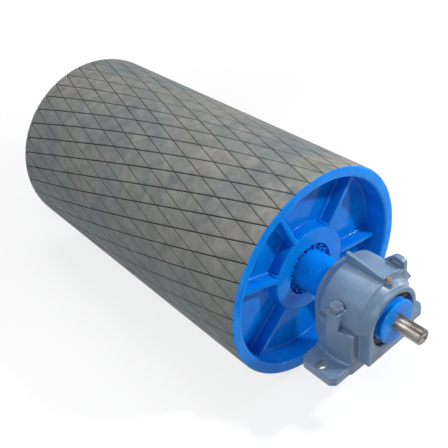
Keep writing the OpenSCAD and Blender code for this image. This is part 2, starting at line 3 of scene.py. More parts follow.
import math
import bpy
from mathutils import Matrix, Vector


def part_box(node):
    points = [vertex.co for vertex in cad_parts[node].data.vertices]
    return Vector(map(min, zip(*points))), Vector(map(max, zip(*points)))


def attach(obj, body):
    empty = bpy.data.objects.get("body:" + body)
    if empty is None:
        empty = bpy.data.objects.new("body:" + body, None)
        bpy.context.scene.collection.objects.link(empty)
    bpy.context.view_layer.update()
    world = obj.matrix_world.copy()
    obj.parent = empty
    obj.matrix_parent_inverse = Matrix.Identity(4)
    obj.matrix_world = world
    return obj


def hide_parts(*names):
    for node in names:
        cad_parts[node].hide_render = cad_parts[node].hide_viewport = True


bl_info = {
    "name": "Conveyor Pulley Drum",
    "version": (1, 0, 0),
    "blender": (4, 5, 0),
    "location": "View3D > Sidebar > Pulley",
    "description": "Builds the finished surfaces of a lagged conveyor pulley drum round its frame",
    "category": "Object",
}

import bpy
import numpy as np
import openvdb
from mathutils import Matrix, Vector

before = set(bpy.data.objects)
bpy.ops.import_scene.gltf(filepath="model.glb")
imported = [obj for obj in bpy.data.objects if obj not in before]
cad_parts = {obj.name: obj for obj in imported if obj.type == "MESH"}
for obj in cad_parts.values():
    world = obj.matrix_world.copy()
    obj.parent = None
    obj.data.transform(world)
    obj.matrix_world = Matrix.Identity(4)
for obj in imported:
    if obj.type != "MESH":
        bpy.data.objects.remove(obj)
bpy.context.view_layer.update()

DRUM, HOUSINGS = "drum", "housings"
_, LAGGING_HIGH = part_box("lagging")
_, SHELL_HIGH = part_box("shell")
HUB_LOW, HUB_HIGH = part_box("hub_drive")
DISC_LOW, DISC_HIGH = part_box("end_disc_drive")
_, RIBS_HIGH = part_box("ribs_drive")
BASE_LOW, BASE_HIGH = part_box("housing_base_drive")
_, CAP_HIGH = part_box("housing_cap_drive")
SHAFT_LOW, SHAFT_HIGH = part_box("shaft")
OUTER_RING_LOW, OUTER_RING_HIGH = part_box("bearing_outer_ring_drive")
COLLAR_LOW, COLLAR_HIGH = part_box("flinger_drive_outer")
_, SCREWS_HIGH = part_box("clamp_screws")
_, BOLTS_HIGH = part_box("cap_bolts")
COVER_LOW, COVER_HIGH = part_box("end_cover_free")
_, SEALS_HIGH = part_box("seal_rings")
_, CLAMP_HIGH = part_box("clamp_outer_rings")
_, SLEEVES_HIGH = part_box("adapter_sleeves")

HALF_FACE = LAGGING_HIGH.x
DRUM_R = LAGGING_HIGH.z
SHELL_R = SHELL_HIGH.z
SHELL_IN = DISC_HIGH.z
HUB_R = HUB_HIGH.z
BEARING_X = (OUTER_RING_LOW.x + OUTER_RING_HIGH.x) / 2
BEARING_R = OUTER_RING_HIGH.z
HALF_HOUSING = (BASE_HIGH.x - BASE_LOW.x) / 2
FOOT_Z = BASE_LOW.z
FOOT_Y = BASE_HIGH.y
PILLAR_Y = CAP_HIGH.y
CAP_TOP = CAP_HIGH.z
COLLAR_R = COLLAR_HIGH.z

# Sizes that more than one piece shares
SLEEVE_WALL = 0.0076
SEAT_R = round(SLEEVES_HIGH.z - SLEEVE_WALL, 3)
CLAMP_LENGTH = 0.046
SEAL_WIDTH = 0.010
SEAT_LENGTH = 0.080
STUB_ROOT_R = 0.0235
STEP_RUN = 0.003  # the stub's root starts this far outside the housing
CRISP = 0.0005    # rounding of a crisp turned edge
STATIONS = (("drive", 1.0), ("free", -1.0))


def length(name, default, description):
    return bpy.props.FloatProperty(name=name, default=default, unit="LENGTH", description=description)


def power(name, default, description):
    return bpy.props.FloatProperty(name=name, default=default, unit="POWER", description=description)


def colour(name, default, description):
    return bpy.props.FloatVectorProperty(name=name, default=default, size=3, min=0.0, max=1.0,
                                         subtype="COLOR", description=description)


class PULLEY_PG_drum(bpy.types.PropertyGroup):
    """Sizes of the drum's surfaces"""

    groove_starts: bpy.props.IntProperty(name="Grooves", default=38, min=12, max=60,
                                         description="Grooves round the drum in each direction")
    groove_rows: bpy.props.IntProperty(name="Half diamonds", default=12, min=4, max=24,
                                       description="Half diamonds along the face")
    groove_floor: length("Groove floor", 0.0010, "Half width of the groove's floor")
    groove_wall: length("Groove mouth", 0.0020, "Half width of the groove where its wall ends")
    groove_edge: length("Groove edge", 0.0042, "Half width of the groove with its worn edges")
    groove_depth: length("Groove depth", 0.0056, "Depth of the grooves that run one way")
    cross_depth: length("Crossing depth", 0.0030, "Depth of the grooves that run the other way")
    rim_round: length("Rim rounding", 0.009, "Rounding of the shell's end")
    lagging_round: length("Lagging rounding", 0.006, "Rounding of the lagging's ends")
    disc_fillet: length("Disc fillet", 0.012, "Fillet of the end disc at hub and shell")
    hub_round: length("Hub rounding", 0.004, "Rounding of the hub's edge")
    rib_round: length("Rib rounding", 0.0022, "Rounding of the ribs' edges")
    weld_leg: length("Weld", 0.008, "Leg of the fillet welds along the ribs")
    weld_pitch: length("Weld ripple", 0.0042, "Spacing of the ripples in the welds")


class PULLEY_PG_housing(bpy.types.PropertyGroup):
    """Sizes of the cast housings"""

    voxel: length("Casting detail", 0.0014, "Spacing of the casting's surface points")
    fillet: length("Casting fillet", 0.009, "Blend between the forms of the casting")
    edge: length("Casting edge", 0.003, "Rounding of the casting's outer edges")
    foot_t: length("Foot", 0.032, "Thickness of the foot")
    foot_half: length("Foot half width", 0.060, "Half of the foot's width")
    foot_corner: length("Foot corner", 0.014, "Corner cut off the foot")
    body_half: length("Body half length", 0.0625, "Half length of the middle of the housing")
    body_r: length("Cap radius", 0.112, "Outside radius of the cap's middle")
    base_half: length("Base half width", 0.122, "Half width of the base under the cap")
    nose_r: length("Nose radius", 0.095, "Outside radius of the housing's noses")
    step: length("Shoulder step", 0.0035, "Step between the cap's middle and its shoulders")
    shoulder: length("Shoulder", 0.020, "Length of the slope from the cap's middle to its noses")
    pillar_half: length("Pillar half width", 0.020, "Half width of the bolt pillars")
    pillar_h: length("Pillar", 0.054, "Height of the bolt pillars")
    bolt_y: length("Bolt place", 0.114, "Distance of the cap bolts from the shaft")
    slot_y: length("Slot place", 0.170, "Distance of the foot's slots from the shaft")
    opening_r: length("Shaft opening", 0.080, "Radius of the housing's shaft openings")
    pad_r: length("Pad radius", 0.127, "Outside radius of the raised pad on the cap")
    rib_edge: length("Rib place", 0.008, "Distance of the rib's outer face from the shaft's middle")
    rib_t: length("Cap rib", 0.012, "Thickness of the rib along the pad")
    lug_y: length("Lug place", 0.074, "Distance of the lifting lug from the shaft")
    lug_t: length("Lug", 0.018, "Thickness of the lifting lug")
    lug_len: length("Lug length", 0.070, "Length of the lifting lug")
    lug_top: length("Lug top", 0.134, "Height of the lifting lug over the shaft")
    nipple_x: length("Nipple place", 0.070, "Distance of the grease nipple from the bearing's middle")
    nipple_y: length("Nipple offset", 0.006, "Distance of the grease nipple from the shaft's middle")
    nipple_seat: length("Nipple seat", 0.116, "Height of the grease nipple's seat over the shaft")


class PULLEY_PG_finish(bpy.types.PropertyGroup):
    """Colours of the finishes"""

    rubber: colour("Lagging", (0.108, 0.128, 0.134), "Clean rubber of the lagging")
    rubber_dust: colour("Lagging dust", (0.200, 0.190, 0.166), "Dry dust that lies on the lagging")
    enamel: colour("Drum enamel", (0.002, 0.245, 0.800), "Gloss enamel of the drum's ends")
    enamel_deep: colour("Thick enamel", (0.001, 0.105, 0.500), "Enamel where it ran together")
    housing: colour("Housing paint", (0.108, 0.174, 0.275), "Paint of the cast housings")
    steel: colour("Bare steel", (0.200, 0.188, 0.175), "Bare turned steel of the stub")
    bolt: colour("Bolt steel", (0.095, 0.130, 0.190), "Painted steel of the bolts")
    brass: colour("Brass", (0.330, 0.245, 0.120), "Machined brass")
    seal: colour("Seal", (0.018, 0.017, 0.015), "Rubber of the seals")


class PULLEY_PG_stage(bpy.types.PropertyGroup):
    """Camera and light"""

    lens: bpy.props.FloatProperty(name="Lens", default=54.46, unit="CAMERA", description="Focal length")
    key: power("Key light", 38.0, "Soft light over the drum")
    fill: power("Fill light", 36.0, "Soft light on the face")
    front: power("Front light", 38.0, "Small light on the drum's end")
    edge: power("Edge light", 18.0, "Narrow light beside the drum")
    sky: bpy.props.FloatProperty(name="Sky", default=0.25, min=0.0, max=2.0,
                                 description="Level of the light all round")


# ---- Meshes ----


def mesh_object(name, points, faces, materials, picks=None, sharp=None):
    """Object from points and faces; picks gives each face's material and sharp the angle of a crease."""
    mesh = bpy.data.meshes.new(name)
    mesh.from_pydata([tuple(p) for p in points], [], faces)
    for material in materials:
        mesh.materials.append(material)
    if picks is not None:
        mesh.polygons.foreach_set("material_index", np.asarray(picks, np.int32))
    mesh.polygons.foreach_set("use_smooth", np.ones(len(mesh.polygons), bool))
    if sharp is not None:
        mesh.set_sharp_from_angle(angle=sharp)
    mesh.validate()
    mesh.update()
    piece = bpy.data.objects.new(name, mesh)
    bpy.context.scene.collection.objects.link(piece)
    return piece


def settle(piece, body, slot, *nodes):
    """Gives a finished piece its body and hides the frame's nodes that it stands for; the slot argument is not
    used.
    """
    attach(piece, body)
    if nodes:
        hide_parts(*nodes)
    return piece


def merged(parts):
    """One list of points and one of faces from several."""
    points, faces = [], []
    for some_points, some_faces in parts:
        start = len(points)
        points.extend(some_points)
        faces.extend([tuple(start + i for i in face) for face in some_faces])
    return points, faces


def placed(part, matrix):
    """The part's points moved by the matrix; a mirror turns its faces round."""
    points, faces = part
    moved = [tuple(matrix @ Vector(p)) for p in points]
    if matrix.determinant() < 0:
        faces = [tuple(reversed(face)) for face in faces]
    return moved, faces


def at_end(side, x=HALF_FACE):
    """Matrix from the frame of one end of the face, with +X outwards, to the row's frame."""
    turn = Matrix.Identity(4) if side > 0 else Matrix.Rotation(math.pi, 4, "Z")
    return Matrix.Translation((side * x, 0, 0)) @ turn


def at_station(side):
    """Matrix from the frame of one bearing, with +X outwards, to the row's frame."""
    return at_end(side, BEARING_X)


def rounded(corners, steps=5):
    """Outline of [radius, x, rounding] corners with each rounded corner as an arc."""
    outline = []
    count = len(corners)
    for i, (r, x, rounding) in enumerate(corners):
        here = np.array([r, x])
        if rounding <= 0:
            outline.append((r, x))
            continue
        before = np.array(corners[i - 1][:2]) - here
        after = np.array(corners[(i + 1) % count][:2]) - here
        reach_before, reach_after = np.linalg.norm(before), np.linalg.norm(after)
        before, after = before / reach_before, after / reach_after
        half = math.acos(max(-1.0, min(1.0, float(before @ after)))) / 2
        run = min(rounding / math.tan(half), 0.49 * reach_before, 0.49 * reach_after)
        radius = run * math.tan(half)
        middle = before + after
        centre = here + middle / np.linalg.norm(middle) * radius / math.sin(half)
        start, end = here + before * run - centre, here + after * run - centre
        sweep = math.atan2(start[0] * end[1] - start[1] * end[0], float(start @ end))
        for k in range(steps + 1):
            a = sweep * k / steps
            turned = (start[0] * math.cos(a) - start[1] * math.sin(a),
                      start[0] * math.sin(a) + start[1] * math.cos(a))
            outline.append((centre[0] + turned[0], centre[1] + turned[1]))
    return outline


def lathe(outline, around=128, is_ring=True):
    """Points and faces of an outline of [radius, x] turned about X."""
    points, faces, rings = [], [], []
    for r, x in outline:
        if r < 1e-7:
            rings.append([len(points)] * around)
            points.append((x, 0.0, 0.0))
        else:
            rings.append(list(range(len(points), len(points) + around)))
            points.extend((x, r * math.cos(a), r * math.sin(a))
                          for a in (2 * math.pi * k / around for k in range(around)))
    last = len(rings) if is_ring else len(rings) - 1
    for i in range(last):
        low, high = rings[i], rings[(i + 1) % len(rings)]
        if low[0] == low[1] and high[0] == high[1]:
            continue
        for k in range(around):
            n = (k + 1) % around
            quad = (low[k], high[k], high[n], low[n])
            faces.append(tuple(dict.fromkeys(quad)))
    return points, faces


def turned_piece(name, corners, materials, picker=None, around=128, steps=5, matrix=None):
    """Lathe-turned object whose faces take the material that picker(radius, x) names."""
    part = outward(lathe(rounded(corners, steps), around))
    picks = None
    if picker is not None:
        picks = [picker(*ring_place(part[0], face)) for face in part[1]]
    if matrix is not None:
        part = placed(part, matrix)
    return mesh_object(name, part[0], part[1], materials, picks, math.radians(32))


def ring_place(points, face):
    """Mean radius and x of a face."""
    corners = np.array([points[i] for i in face])
    return float(np.hypot(corners[:, 1], corners[:, 2]).mean()), float(corners[:, 0].mean())


def volume(part):
    """Signed volume of a closed part."""
    points = np.array(part[0])
    total = 0.0
    for face in part[1]:
        a = points[face[0]]
        for i in range(1, len(face) - 1):
            total += float(a @ np.cross(points[face[i]], points[face[i + 1]]))
    return total


def outward(part):
    """The closed part with its faces turned outwards."""
    points, faces = part
    if volume(part) < 0:
        faces = [tuple(reversed(face)) for face in faces]
    return points, faces


def tube_faces(rings, count):
    """Faces between rings of count points each, and a face over each end."""
    faces = []
    for j in range(rings - 1):
        for i in range(count):
            n = (i + 1) % count
            faces.append((j * count + i, j * count + n, (j + 1) * count + n, (j + 1) * count + i))
    faces.append(tuple(reversed(range(count))))
    faces.append(tuple(range((rings - 1) * count, rings * count)))
    return faces


# ---- Fields for castings: distance to a form, below 0 inside ----


def box_field(X, Y, Z, low, high, edge=0.0):
    """Box between two corners with rounded edges."""
    d = [np.abs(V - (a + b) / 2) - (b - a) / 2 + edge for V, a, b in zip((X, Y, Z), low, high)]
    outside = np.sqrt(sum(np.maximum(v, 0) ** 2 for v in d))
    inside = np.minimum(np.maximum(np.maximum(d[0], d[1]), d[2]), 0)
    return outside + inside - edge


def bar_field(U, V, W, radius, low, high, edge=0.0):
    """Round bar along W."""
    across = np.sqrt(U ** 2 + V ** 2) - radius + edge
    along = np.abs(W - (low + high) / 2) - (high - low) / 2 + edge
    outside = np.sqrt(np.maximum(across, 0) ** 2 + np.maximum(along, 0) ** 2)
    return outside + np.minimum(np.maximum(across, along), 0) - edge


def joined(a, b, fillet):
    """Both forms with a fillet between them."""
    if fillet <= 0:
        return np.minimum(a, b)
    h = np.maximum(fillet - np.abs(a - b), 0) / fillet
    return np.minimum(a, b) - h * h * fillet / 4


def met(a, b, edge=0.0):
    """What both forms share, with the edge between them rounded."""
    return -joined(-a, -b, edge)


def trimmed(a, b, edge=0.0):
    """The first form without the second, with the new edge rounded."""
    return -joined(-a, b, edge)


def cast(field, low, high, voxel):
    """Points and faces of a field's surface inside a box."""
    axes = [np.arange(a - 2 * voxel, b + 2.5 * voxel, voxel, dtype=np.float32) for a, b in zip(low, high)]
    X, Y, Z = axes[0][:, None, None], axes[1][None, :, None], axes[2][None, None, :]
    values = np.array(np.broadcast_to(field(X, Y, Z), tuple(len(a) for a in axes)), np.float32, order="C")
    grid = openvdb.FloatGrid(0.05)
    grid.copyFromArray(values)
    points, quads = grid.convertToQuads(isovalue=0.0)
    points = points.astype(float) * voxel + np.array([a[0] for a in axes])
    return [tuple(p) for p in points], [tuple(reversed(q)) for q in quads.astype(int).tolist()]


# ---- Shader nodes ----


class Tree:
    """Short hand for a node tree."""

    def __init__(self, tree):
        self.tree = tree

    def add(self, kind, sockets=None, **settings):
        node = self.tree.nodes.new(kind)
        for name, value in settings.items():
            setattr(node, name, value)
        for name, value in (sockets or {}).items():
            self.put(node.inputs[name], value)
        return node

    def put(self, socket, value):
        if isinstance(value, bpy.types.NodeSocket):
            self.tree.links.new(value, socket)
        else:
            socket.default_value = value

    def math(self, operation, a, b=0.5, clamp=False):
        node = self.add("ShaderNodeMath", operation=operation, use_clamp=clamp)
        self.put(node.inputs[0], a)
        self.put(node.inputs[1], b)
        return node.outputs[0]

    def times(self, a, b):
        return self.math("MULTIPLY", a, b)

    def plus(self, a, b):
        return self.math("ADD", a, b)

    def axis_distance(self, split):
        squares = [self.times(split[axis], split[axis]) for axis in "YZ"]
        return self.math("SQRT", self.plus(*squares))

    def ramp(self, value, low, high, to_low=0.0, to_high=1.0):
        node = self.add("ShaderNodeMapRange", {"Value": value, "From Min": low, "From Max": high,
                                               "To Min": to_low, "To Max": to_high},
                        interpolation_type="SMOOTHSTEP")
        return node.outputs["Result"]

    def mix(self, mask, a, b, blend="MIX"):
        node = self.add("ShaderNodeMix", data_type="RGBA", blend_type=blend)
        self.put(node.inputs[0], mask)
        self.put(node.inputs[6], a)
        self.put(node.inputs[7], b)
        return node.outputs[2]

    def noise(self, vector, scale, detail=4.0, roughness=0.55, distortion=0.0):
        node = self.add("ShaderNodeTexNoise", {"Vector": vector, "Scale": scale, "Detail": detail,
                                               "Roughness": roughness, "Distortion": distortion})
        return node.outputs["Fac"]

    def place(self):
        return self.add("ShaderNodeTexCoord").outputs["Object"]

    def stretched(self, vector, scale):
        node = self.add("ShaderNodeMapping", {"Vector": vector, "Scale": scale})
        return node.outputs[0]


def new_group(name, inputs, outputs):
    """Empty node group with named sockets; returns it, its tree, what it is given and what it puts out."""
    group = bpy.data.node_groups.new(name, "ShaderNodeTree")
    for label, default in inputs.items():
        socket = group.interface.new_socket(name=label, in_out="INPUT", socket_type="NodeSocketFloat")
        socket.default_value = default
    for label in outputs:
        group.interface.new_socket(name=label, in_out="OUTPUT", socket_type="NodeSocketFloat")
    tree = Tree(group)
    return group, tree, tree.add("NodeGroupInput").outputs, tree.add("NodeGroupOutput").inputs


def patches_group():
    """Soft patches of grime or dust, and a finer breakup of them."""
    group, t, given, result = new_group(
        "Patches", {"Scale": 6.0, "Level": 0.5, "Softness": 0.12}, ("Mask", "Fine"))
    where = t.place()
    broad = t.noise(where, given["Scale"], 5.0, 0.6, 0.4)
    fine = t.noise(where, t.times(given["Scale"], 9.0), 4.0, 0.65)
    both = t.plus(t.times(broad, 0.78), t.times(fine, 0.22))
    low = t.math("SUBTRACT", given["Level"], given["Softness"])
    high = t.plus(given["Level"], given["Softness"])
    t.put(result["Mask"], t.ramp(both, low, high))
    t.put(result["Fine"], fine)
    return group


def skin_group():
    """Height of a sprayed or cast skin: orange peel with a few specks."""
    group, t, given, result = new_group("Skin", {"Scale": 200.0, "Specks": 0.3}, ("Height", "Speck"))
    where = t.place()
    peel = t.noise(where, given["Scale"], 3.0, 0.5)
    cells = t.add("ShaderNodeTexVoronoi", {"Vector": where, "Scale": t.times(given["Scale"], 0.6)})
    speck = t.ramp(cells.outputs["Distance"], 0.10, 0.22, 1.0, 0.0)
    t.put(result["Height"], t.plus(peel, t.times(speck, given["Specks"])))
    t.put(result["Speck"], speck)
    return group


def turning_group():
    """Fine rings that a lathe leaves about X."""
    group, t, given, result = new_group("Turning marks", {"Pitch": 900.0}, ("Height", "Streak"))
    where = t.place()
    split = t.add("ShaderNodeSeparateXYZ", {"Vector": where}).outputs
    along = t.times(t.plus(split["X"], t.axis_distance(split)), given["Pitch"])
    line = t.add("ShaderNodeCombineXYZ", {"X": along})
    t.put(result["Height"], t.noise(line.outputs[0], 1.0, 2.0, 0.6))
    t.put(result["Streak"], t.noise(t.stretched(where, (14.0, 60.0, 60.0)), 1.0, 4.0, 0.6))
    return group


def edges_group():
    """Mask of convex edges, broken up by noise."""
    group, t, given, result = new_group("Worn edges", {"Level": 0.54, "Width": 0.05}, ("Mask",))
    bend = t.add("ShaderNodeNewGeometry").outputs["Pointiness"]
    rough = t.noise(t.place(), 55.0, 4.0, 0.7)
    worn = t.plus(bend, t.times(t.math("SUBTRACT", rough, 0.5), 0.06))
    t.put(result["Mask"], t.ramp(worn, given["Level"], t.plus(given["Level"], given["Width"])))
    return group


GROUPS = {}


def group_node(tree, name, **values):
    """Outputs of a shared group in a material, with its own values."""
    makers = {"Patches": patches_group, "Skin": skin_group,
              "Turning marks": turning_group, "Worn edges": edges_group}
    if name not in GROUPS:
        GROUPS[name] = makers[name]()
    return tree.add("ShaderNodeGroup", values, node_tree=GROUPS[name]).outputs


def patches(tree, scale, level, softness):
    return group_node(tree, "Patches", Scale=scale, Level=level, Softness=softness)


def new_material(name, **shader):
    """Material with a Principled shader; uniform values are set on its own sockets."""
    material = bpy.data.materials.new(name)
    material.use_nodes = True
    tree = Tree(material.node_tree)
    principled = material.node_tree.nodes["Principled BSDF"]
    for label, value in shader.items():
        tree.put(principled.inputs[label.replace("_", " ")], value)
    return material, tree, principled.inputs


def stained(tree, base, mask, share, *tint):
    """The base colour under a share of a mask in another colour."""
    return tree.mix(tree.times(mask, share), base, (*tint, 1.0))


def surface(tree, shader, colour, roughness, height, strength, distance):
    """Puts colour, roughness and relief on a material's shader."""
    tree.put(shader["Base Color"], colour)
    tree.put(shader["Roughness"], roughness)
    relief = tree.add("ShaderNodeBump", {"Height": height, "Strength": strength, "Distance": distance})
    tree.put(shader["Normal"], relief.outputs[0])


def scaled(tree, colour, value):
    """A colour times a value."""
    return tree.add("ShaderNodeVectorMath", {0: colour, "Scale": value}, operation="SCALE").outputs[0]


def rgba(value, gain=1.0):
    return tuple(min(1.0, c * gain) for c in value) + (1.0,)


def rubber_material(finish):
    """Worn grooved rubber: dust on the pads, lighter and browner towards the top, and painted shade deep in
    the grooves.
    """
    material, t, shader = new_material("lagging rubber", Specular_IOR_Level=0.35)
    split = t.add("ShaderNodeSeparateXYZ", {"Vector": t.place()}).outputs
    dust = patches(t, 3.2, 0.50, 0.13)
    green = patches(t, 5.5, 0.58, 0.08)
    scuff = patches(t, 16.0, 0.60, 0.10)
    # the dust colour grows stronger towards the top, so the lagging turns lighter and browner upwards
    upward = t.ramp(split["Z"], -0.12, 0.33)
    lighter_towards_top = t.times(dust["Mask"], t.plus(t.times(upward, 0.75), 0.20))
    base = t.mix(lighter_towards_top, rgba(finish.rubber), rgba(finish.rubber_dust))
    base = stained(t, base, green["Mask"], 0.30, 0.150, 0.185, 0.130)
    base = stained(t, base, scuff["Mask"], 0.22, 0.300, 0.305, 0.300)
    grained = scaled(t, base, t.ramp(dust["Fine"], 0.30, 0.70, 0.86, 1.14))
    # painted shade: near black at the groove floors, fading out towards the drum's surface
    depth = t.ramp(t.axis_distance(split), DRUM_R - 0.0052, DRUM_R - 0.0012)
    skin = group_node(t, "Skin", Scale=240.0, Specks=0.35)
    surface(t, shader, t.mix(depth, (0.020, 0.019, 0.016, 1.0), grained),
            t.ramp(dust["Mask"], 0.0, 1.0, 0.58, 0.78), skin["Height"], 0.35, 0.0006)
    return material


def enamel_material(finish, name="drum enamel", gloss=0.15, coat=0.27, worn=0.0):
    """Brushed-on blue gloss enamel, deeper where it ran together."""
    material, t, shader = new_material(name, Coat_Weight=coat, Coat_Roughness=0.08, Specular_IOR_Level=0.02)
    runs = patches(t, 7.0, 0.50, 0.16)
    specks = patches(t, 42.0, 0.66, 0.04)
    base = t.mix(t.times(runs["Mask"], 0.55), rgba(finish.enamel), rgba(finish.enamel_deep))
    base = stained(t, base, specks["Mask"], 0.35 + worn, 0.006, 0.030, 0.110)
    if worn > 0:
        base = stained(t, base, patches(t, 70.0, 0.60, 0.05)["Mask"], worn, 0.045, 0.040, 0.040)
    skin = group_node(t, "Skin", Scale=95.0, Specks=0.25)
    surface(t, shader, base, t.ramp(runs["Fine"], 0.3, 0.7, gloss, gloss + 0.12),
            skin["Height"], 0.30, 0.0011)
    return material


def casting_material(finish):
    """Grey-blue paint over a sand-cast skin, lighter on worn edges."""
    material, t, shader = new_material("housing paint", Specular_IOR_Level=0.5, Metallic=0.0)
    tone = patches(t, 9.0, 0.50, 0.18)
    grime = patches(t, 24.0, 0.64, 0.07)
    worn = group_node(t, "Worn edges", Level=0.545, Width=0.06)
    base = t.mix(tone["Mask"], rgba(finish.housing, 0.90), rgba(finish.housing, 1.16))
    base = stained(t, base, grime["Mask"], 0.35, 0.085, 0.090, 0.100)
    base = stained(t, base, worn["Mask"], 0.60, 0.380, 0.400, 0.430)
    skin = group_node(t, "Skin", Scale=330.0, Specks=0.45)
    surface(t, shader, base, t.ramp(tone["Fine"], 0.3, 0.7, 0.30, 0.46), skin["Height"], 0.38, 0.0007)
    return material


def steel_material(name, base_colour, metallic, roughness, rust=0.3, pitch=900.0, streak_sheen_contrast=0.25):
    """Turned or plated steel with streaks of old oil and rust; the streaks along X also paint sheen, strongest
    on the stub.
    """
    material, t, shader = new_material(name, Metallic=metallic)
    marks = group_node(t, "Turning marks", Pitch=pitch)
    stain = patches(t, 38.0, 0.55, 0.10)
    # light and dark streaks along X: old oil stains and painted sheen; the stub's large contrast paints its
    # highlight streak
    streaks_and_sheen = t.ramp(marks["Streak"], 0.36, 0.64, 1.0 - streak_sheen_contrast, 1.0 + streak_sheen_contrast)
    base = stained(t, scaled(t, rgba(base_colour)[:3], streaks_and_sheen), stain["Mask"], rust, 0.085, 0.050, 0.028)
    surface(t, shader, base, t.ramp(stain["Fine"], 0.3, 0.7, roughness, roughness + 0.16),
            marks["Height"], 0.30, 0.0003)
    return material


def seal_material(finish):
    """Black rubber with old grease and dust."""
    material, t, shader = new_material("seal rubber", Specular_IOR_Level=0.5)
    grease = patches(t, 45.0, 0.52, 0.10)
    base = stained(t, rgba(finish.seal), grease["Mask"], 0.55, 0.070, 0.055, 0.030)
    skin = group_node(t, "Skin", Scale=500.0, Specks=0.2)
    surface(t, shader, base, t.ramp(grease["Mask"], 0.0, 1.0, 0.62, 0.30), skin["Height"], 0.3, 0.0005)
    return material


MATERIALS = {}


def finish_of(name):
    """The material of a finish, made once."""
    finish = bpy.context.scene.pulley_finish
    makers = {
        "rubber": lambda: rubber_material(finish),
        "enamel": lambda: enamel_material(finish),
        "thin enamel": lambda: enamel_material(finish, "thin enamel", gloss=0.35, coat=0.05, worn=0.30),
        "casting": lambda: casting_material(finish),
        # the stub's streaks are strong enough to paint a highlight streak along it
        "stub": lambda: steel_material("turned steel", finish.steel, 0.75, 0.24, 0.45, 700.0, 0.65),
        "bolt": lambda: steel_material("bolt steel", finish.bolt, 0.35, 0.40, 0.12, 1500.0),
        "ground": lambda: steel_material("ground steel", (0.55, 0.55, 0.56), 0.95, 0.22, 0.08, 2200.0),
        # near-black socket faces: painted shade inside the screws' hex sockets
        "socket": lambda: steel_material("socket painted shade", (0.022, 0.022, 0.028), 0.2, 0.60, 0.5, 500.0),
        "brass": lambda: steel_material("machined brass", finish.brass, 0.8, 0.42, 0.25, 1600.0),
        "seal": lambda: seal_material(finish),
    }
    if name not in MATERIALS:
        MATERIALS[name] = makers[name]()
    return MATERIALS[name]


def dress(node, finish):
    """Gives a node of the frame its finish."""
    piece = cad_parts[node]
    if not piece.material_slots:
        piece.data.materials.append(None)
    for slot in piece.material_slots:
        slot.material = finish_of(finish)
    piece.data.polygons.foreach_set("use_smooth", np.ones(len(piece.data.polygons), bool))


# ---- Operators ----


class PieceOperator:
    """What the operators share."""

    bl_options = {"REGISTER", "UNDO"}


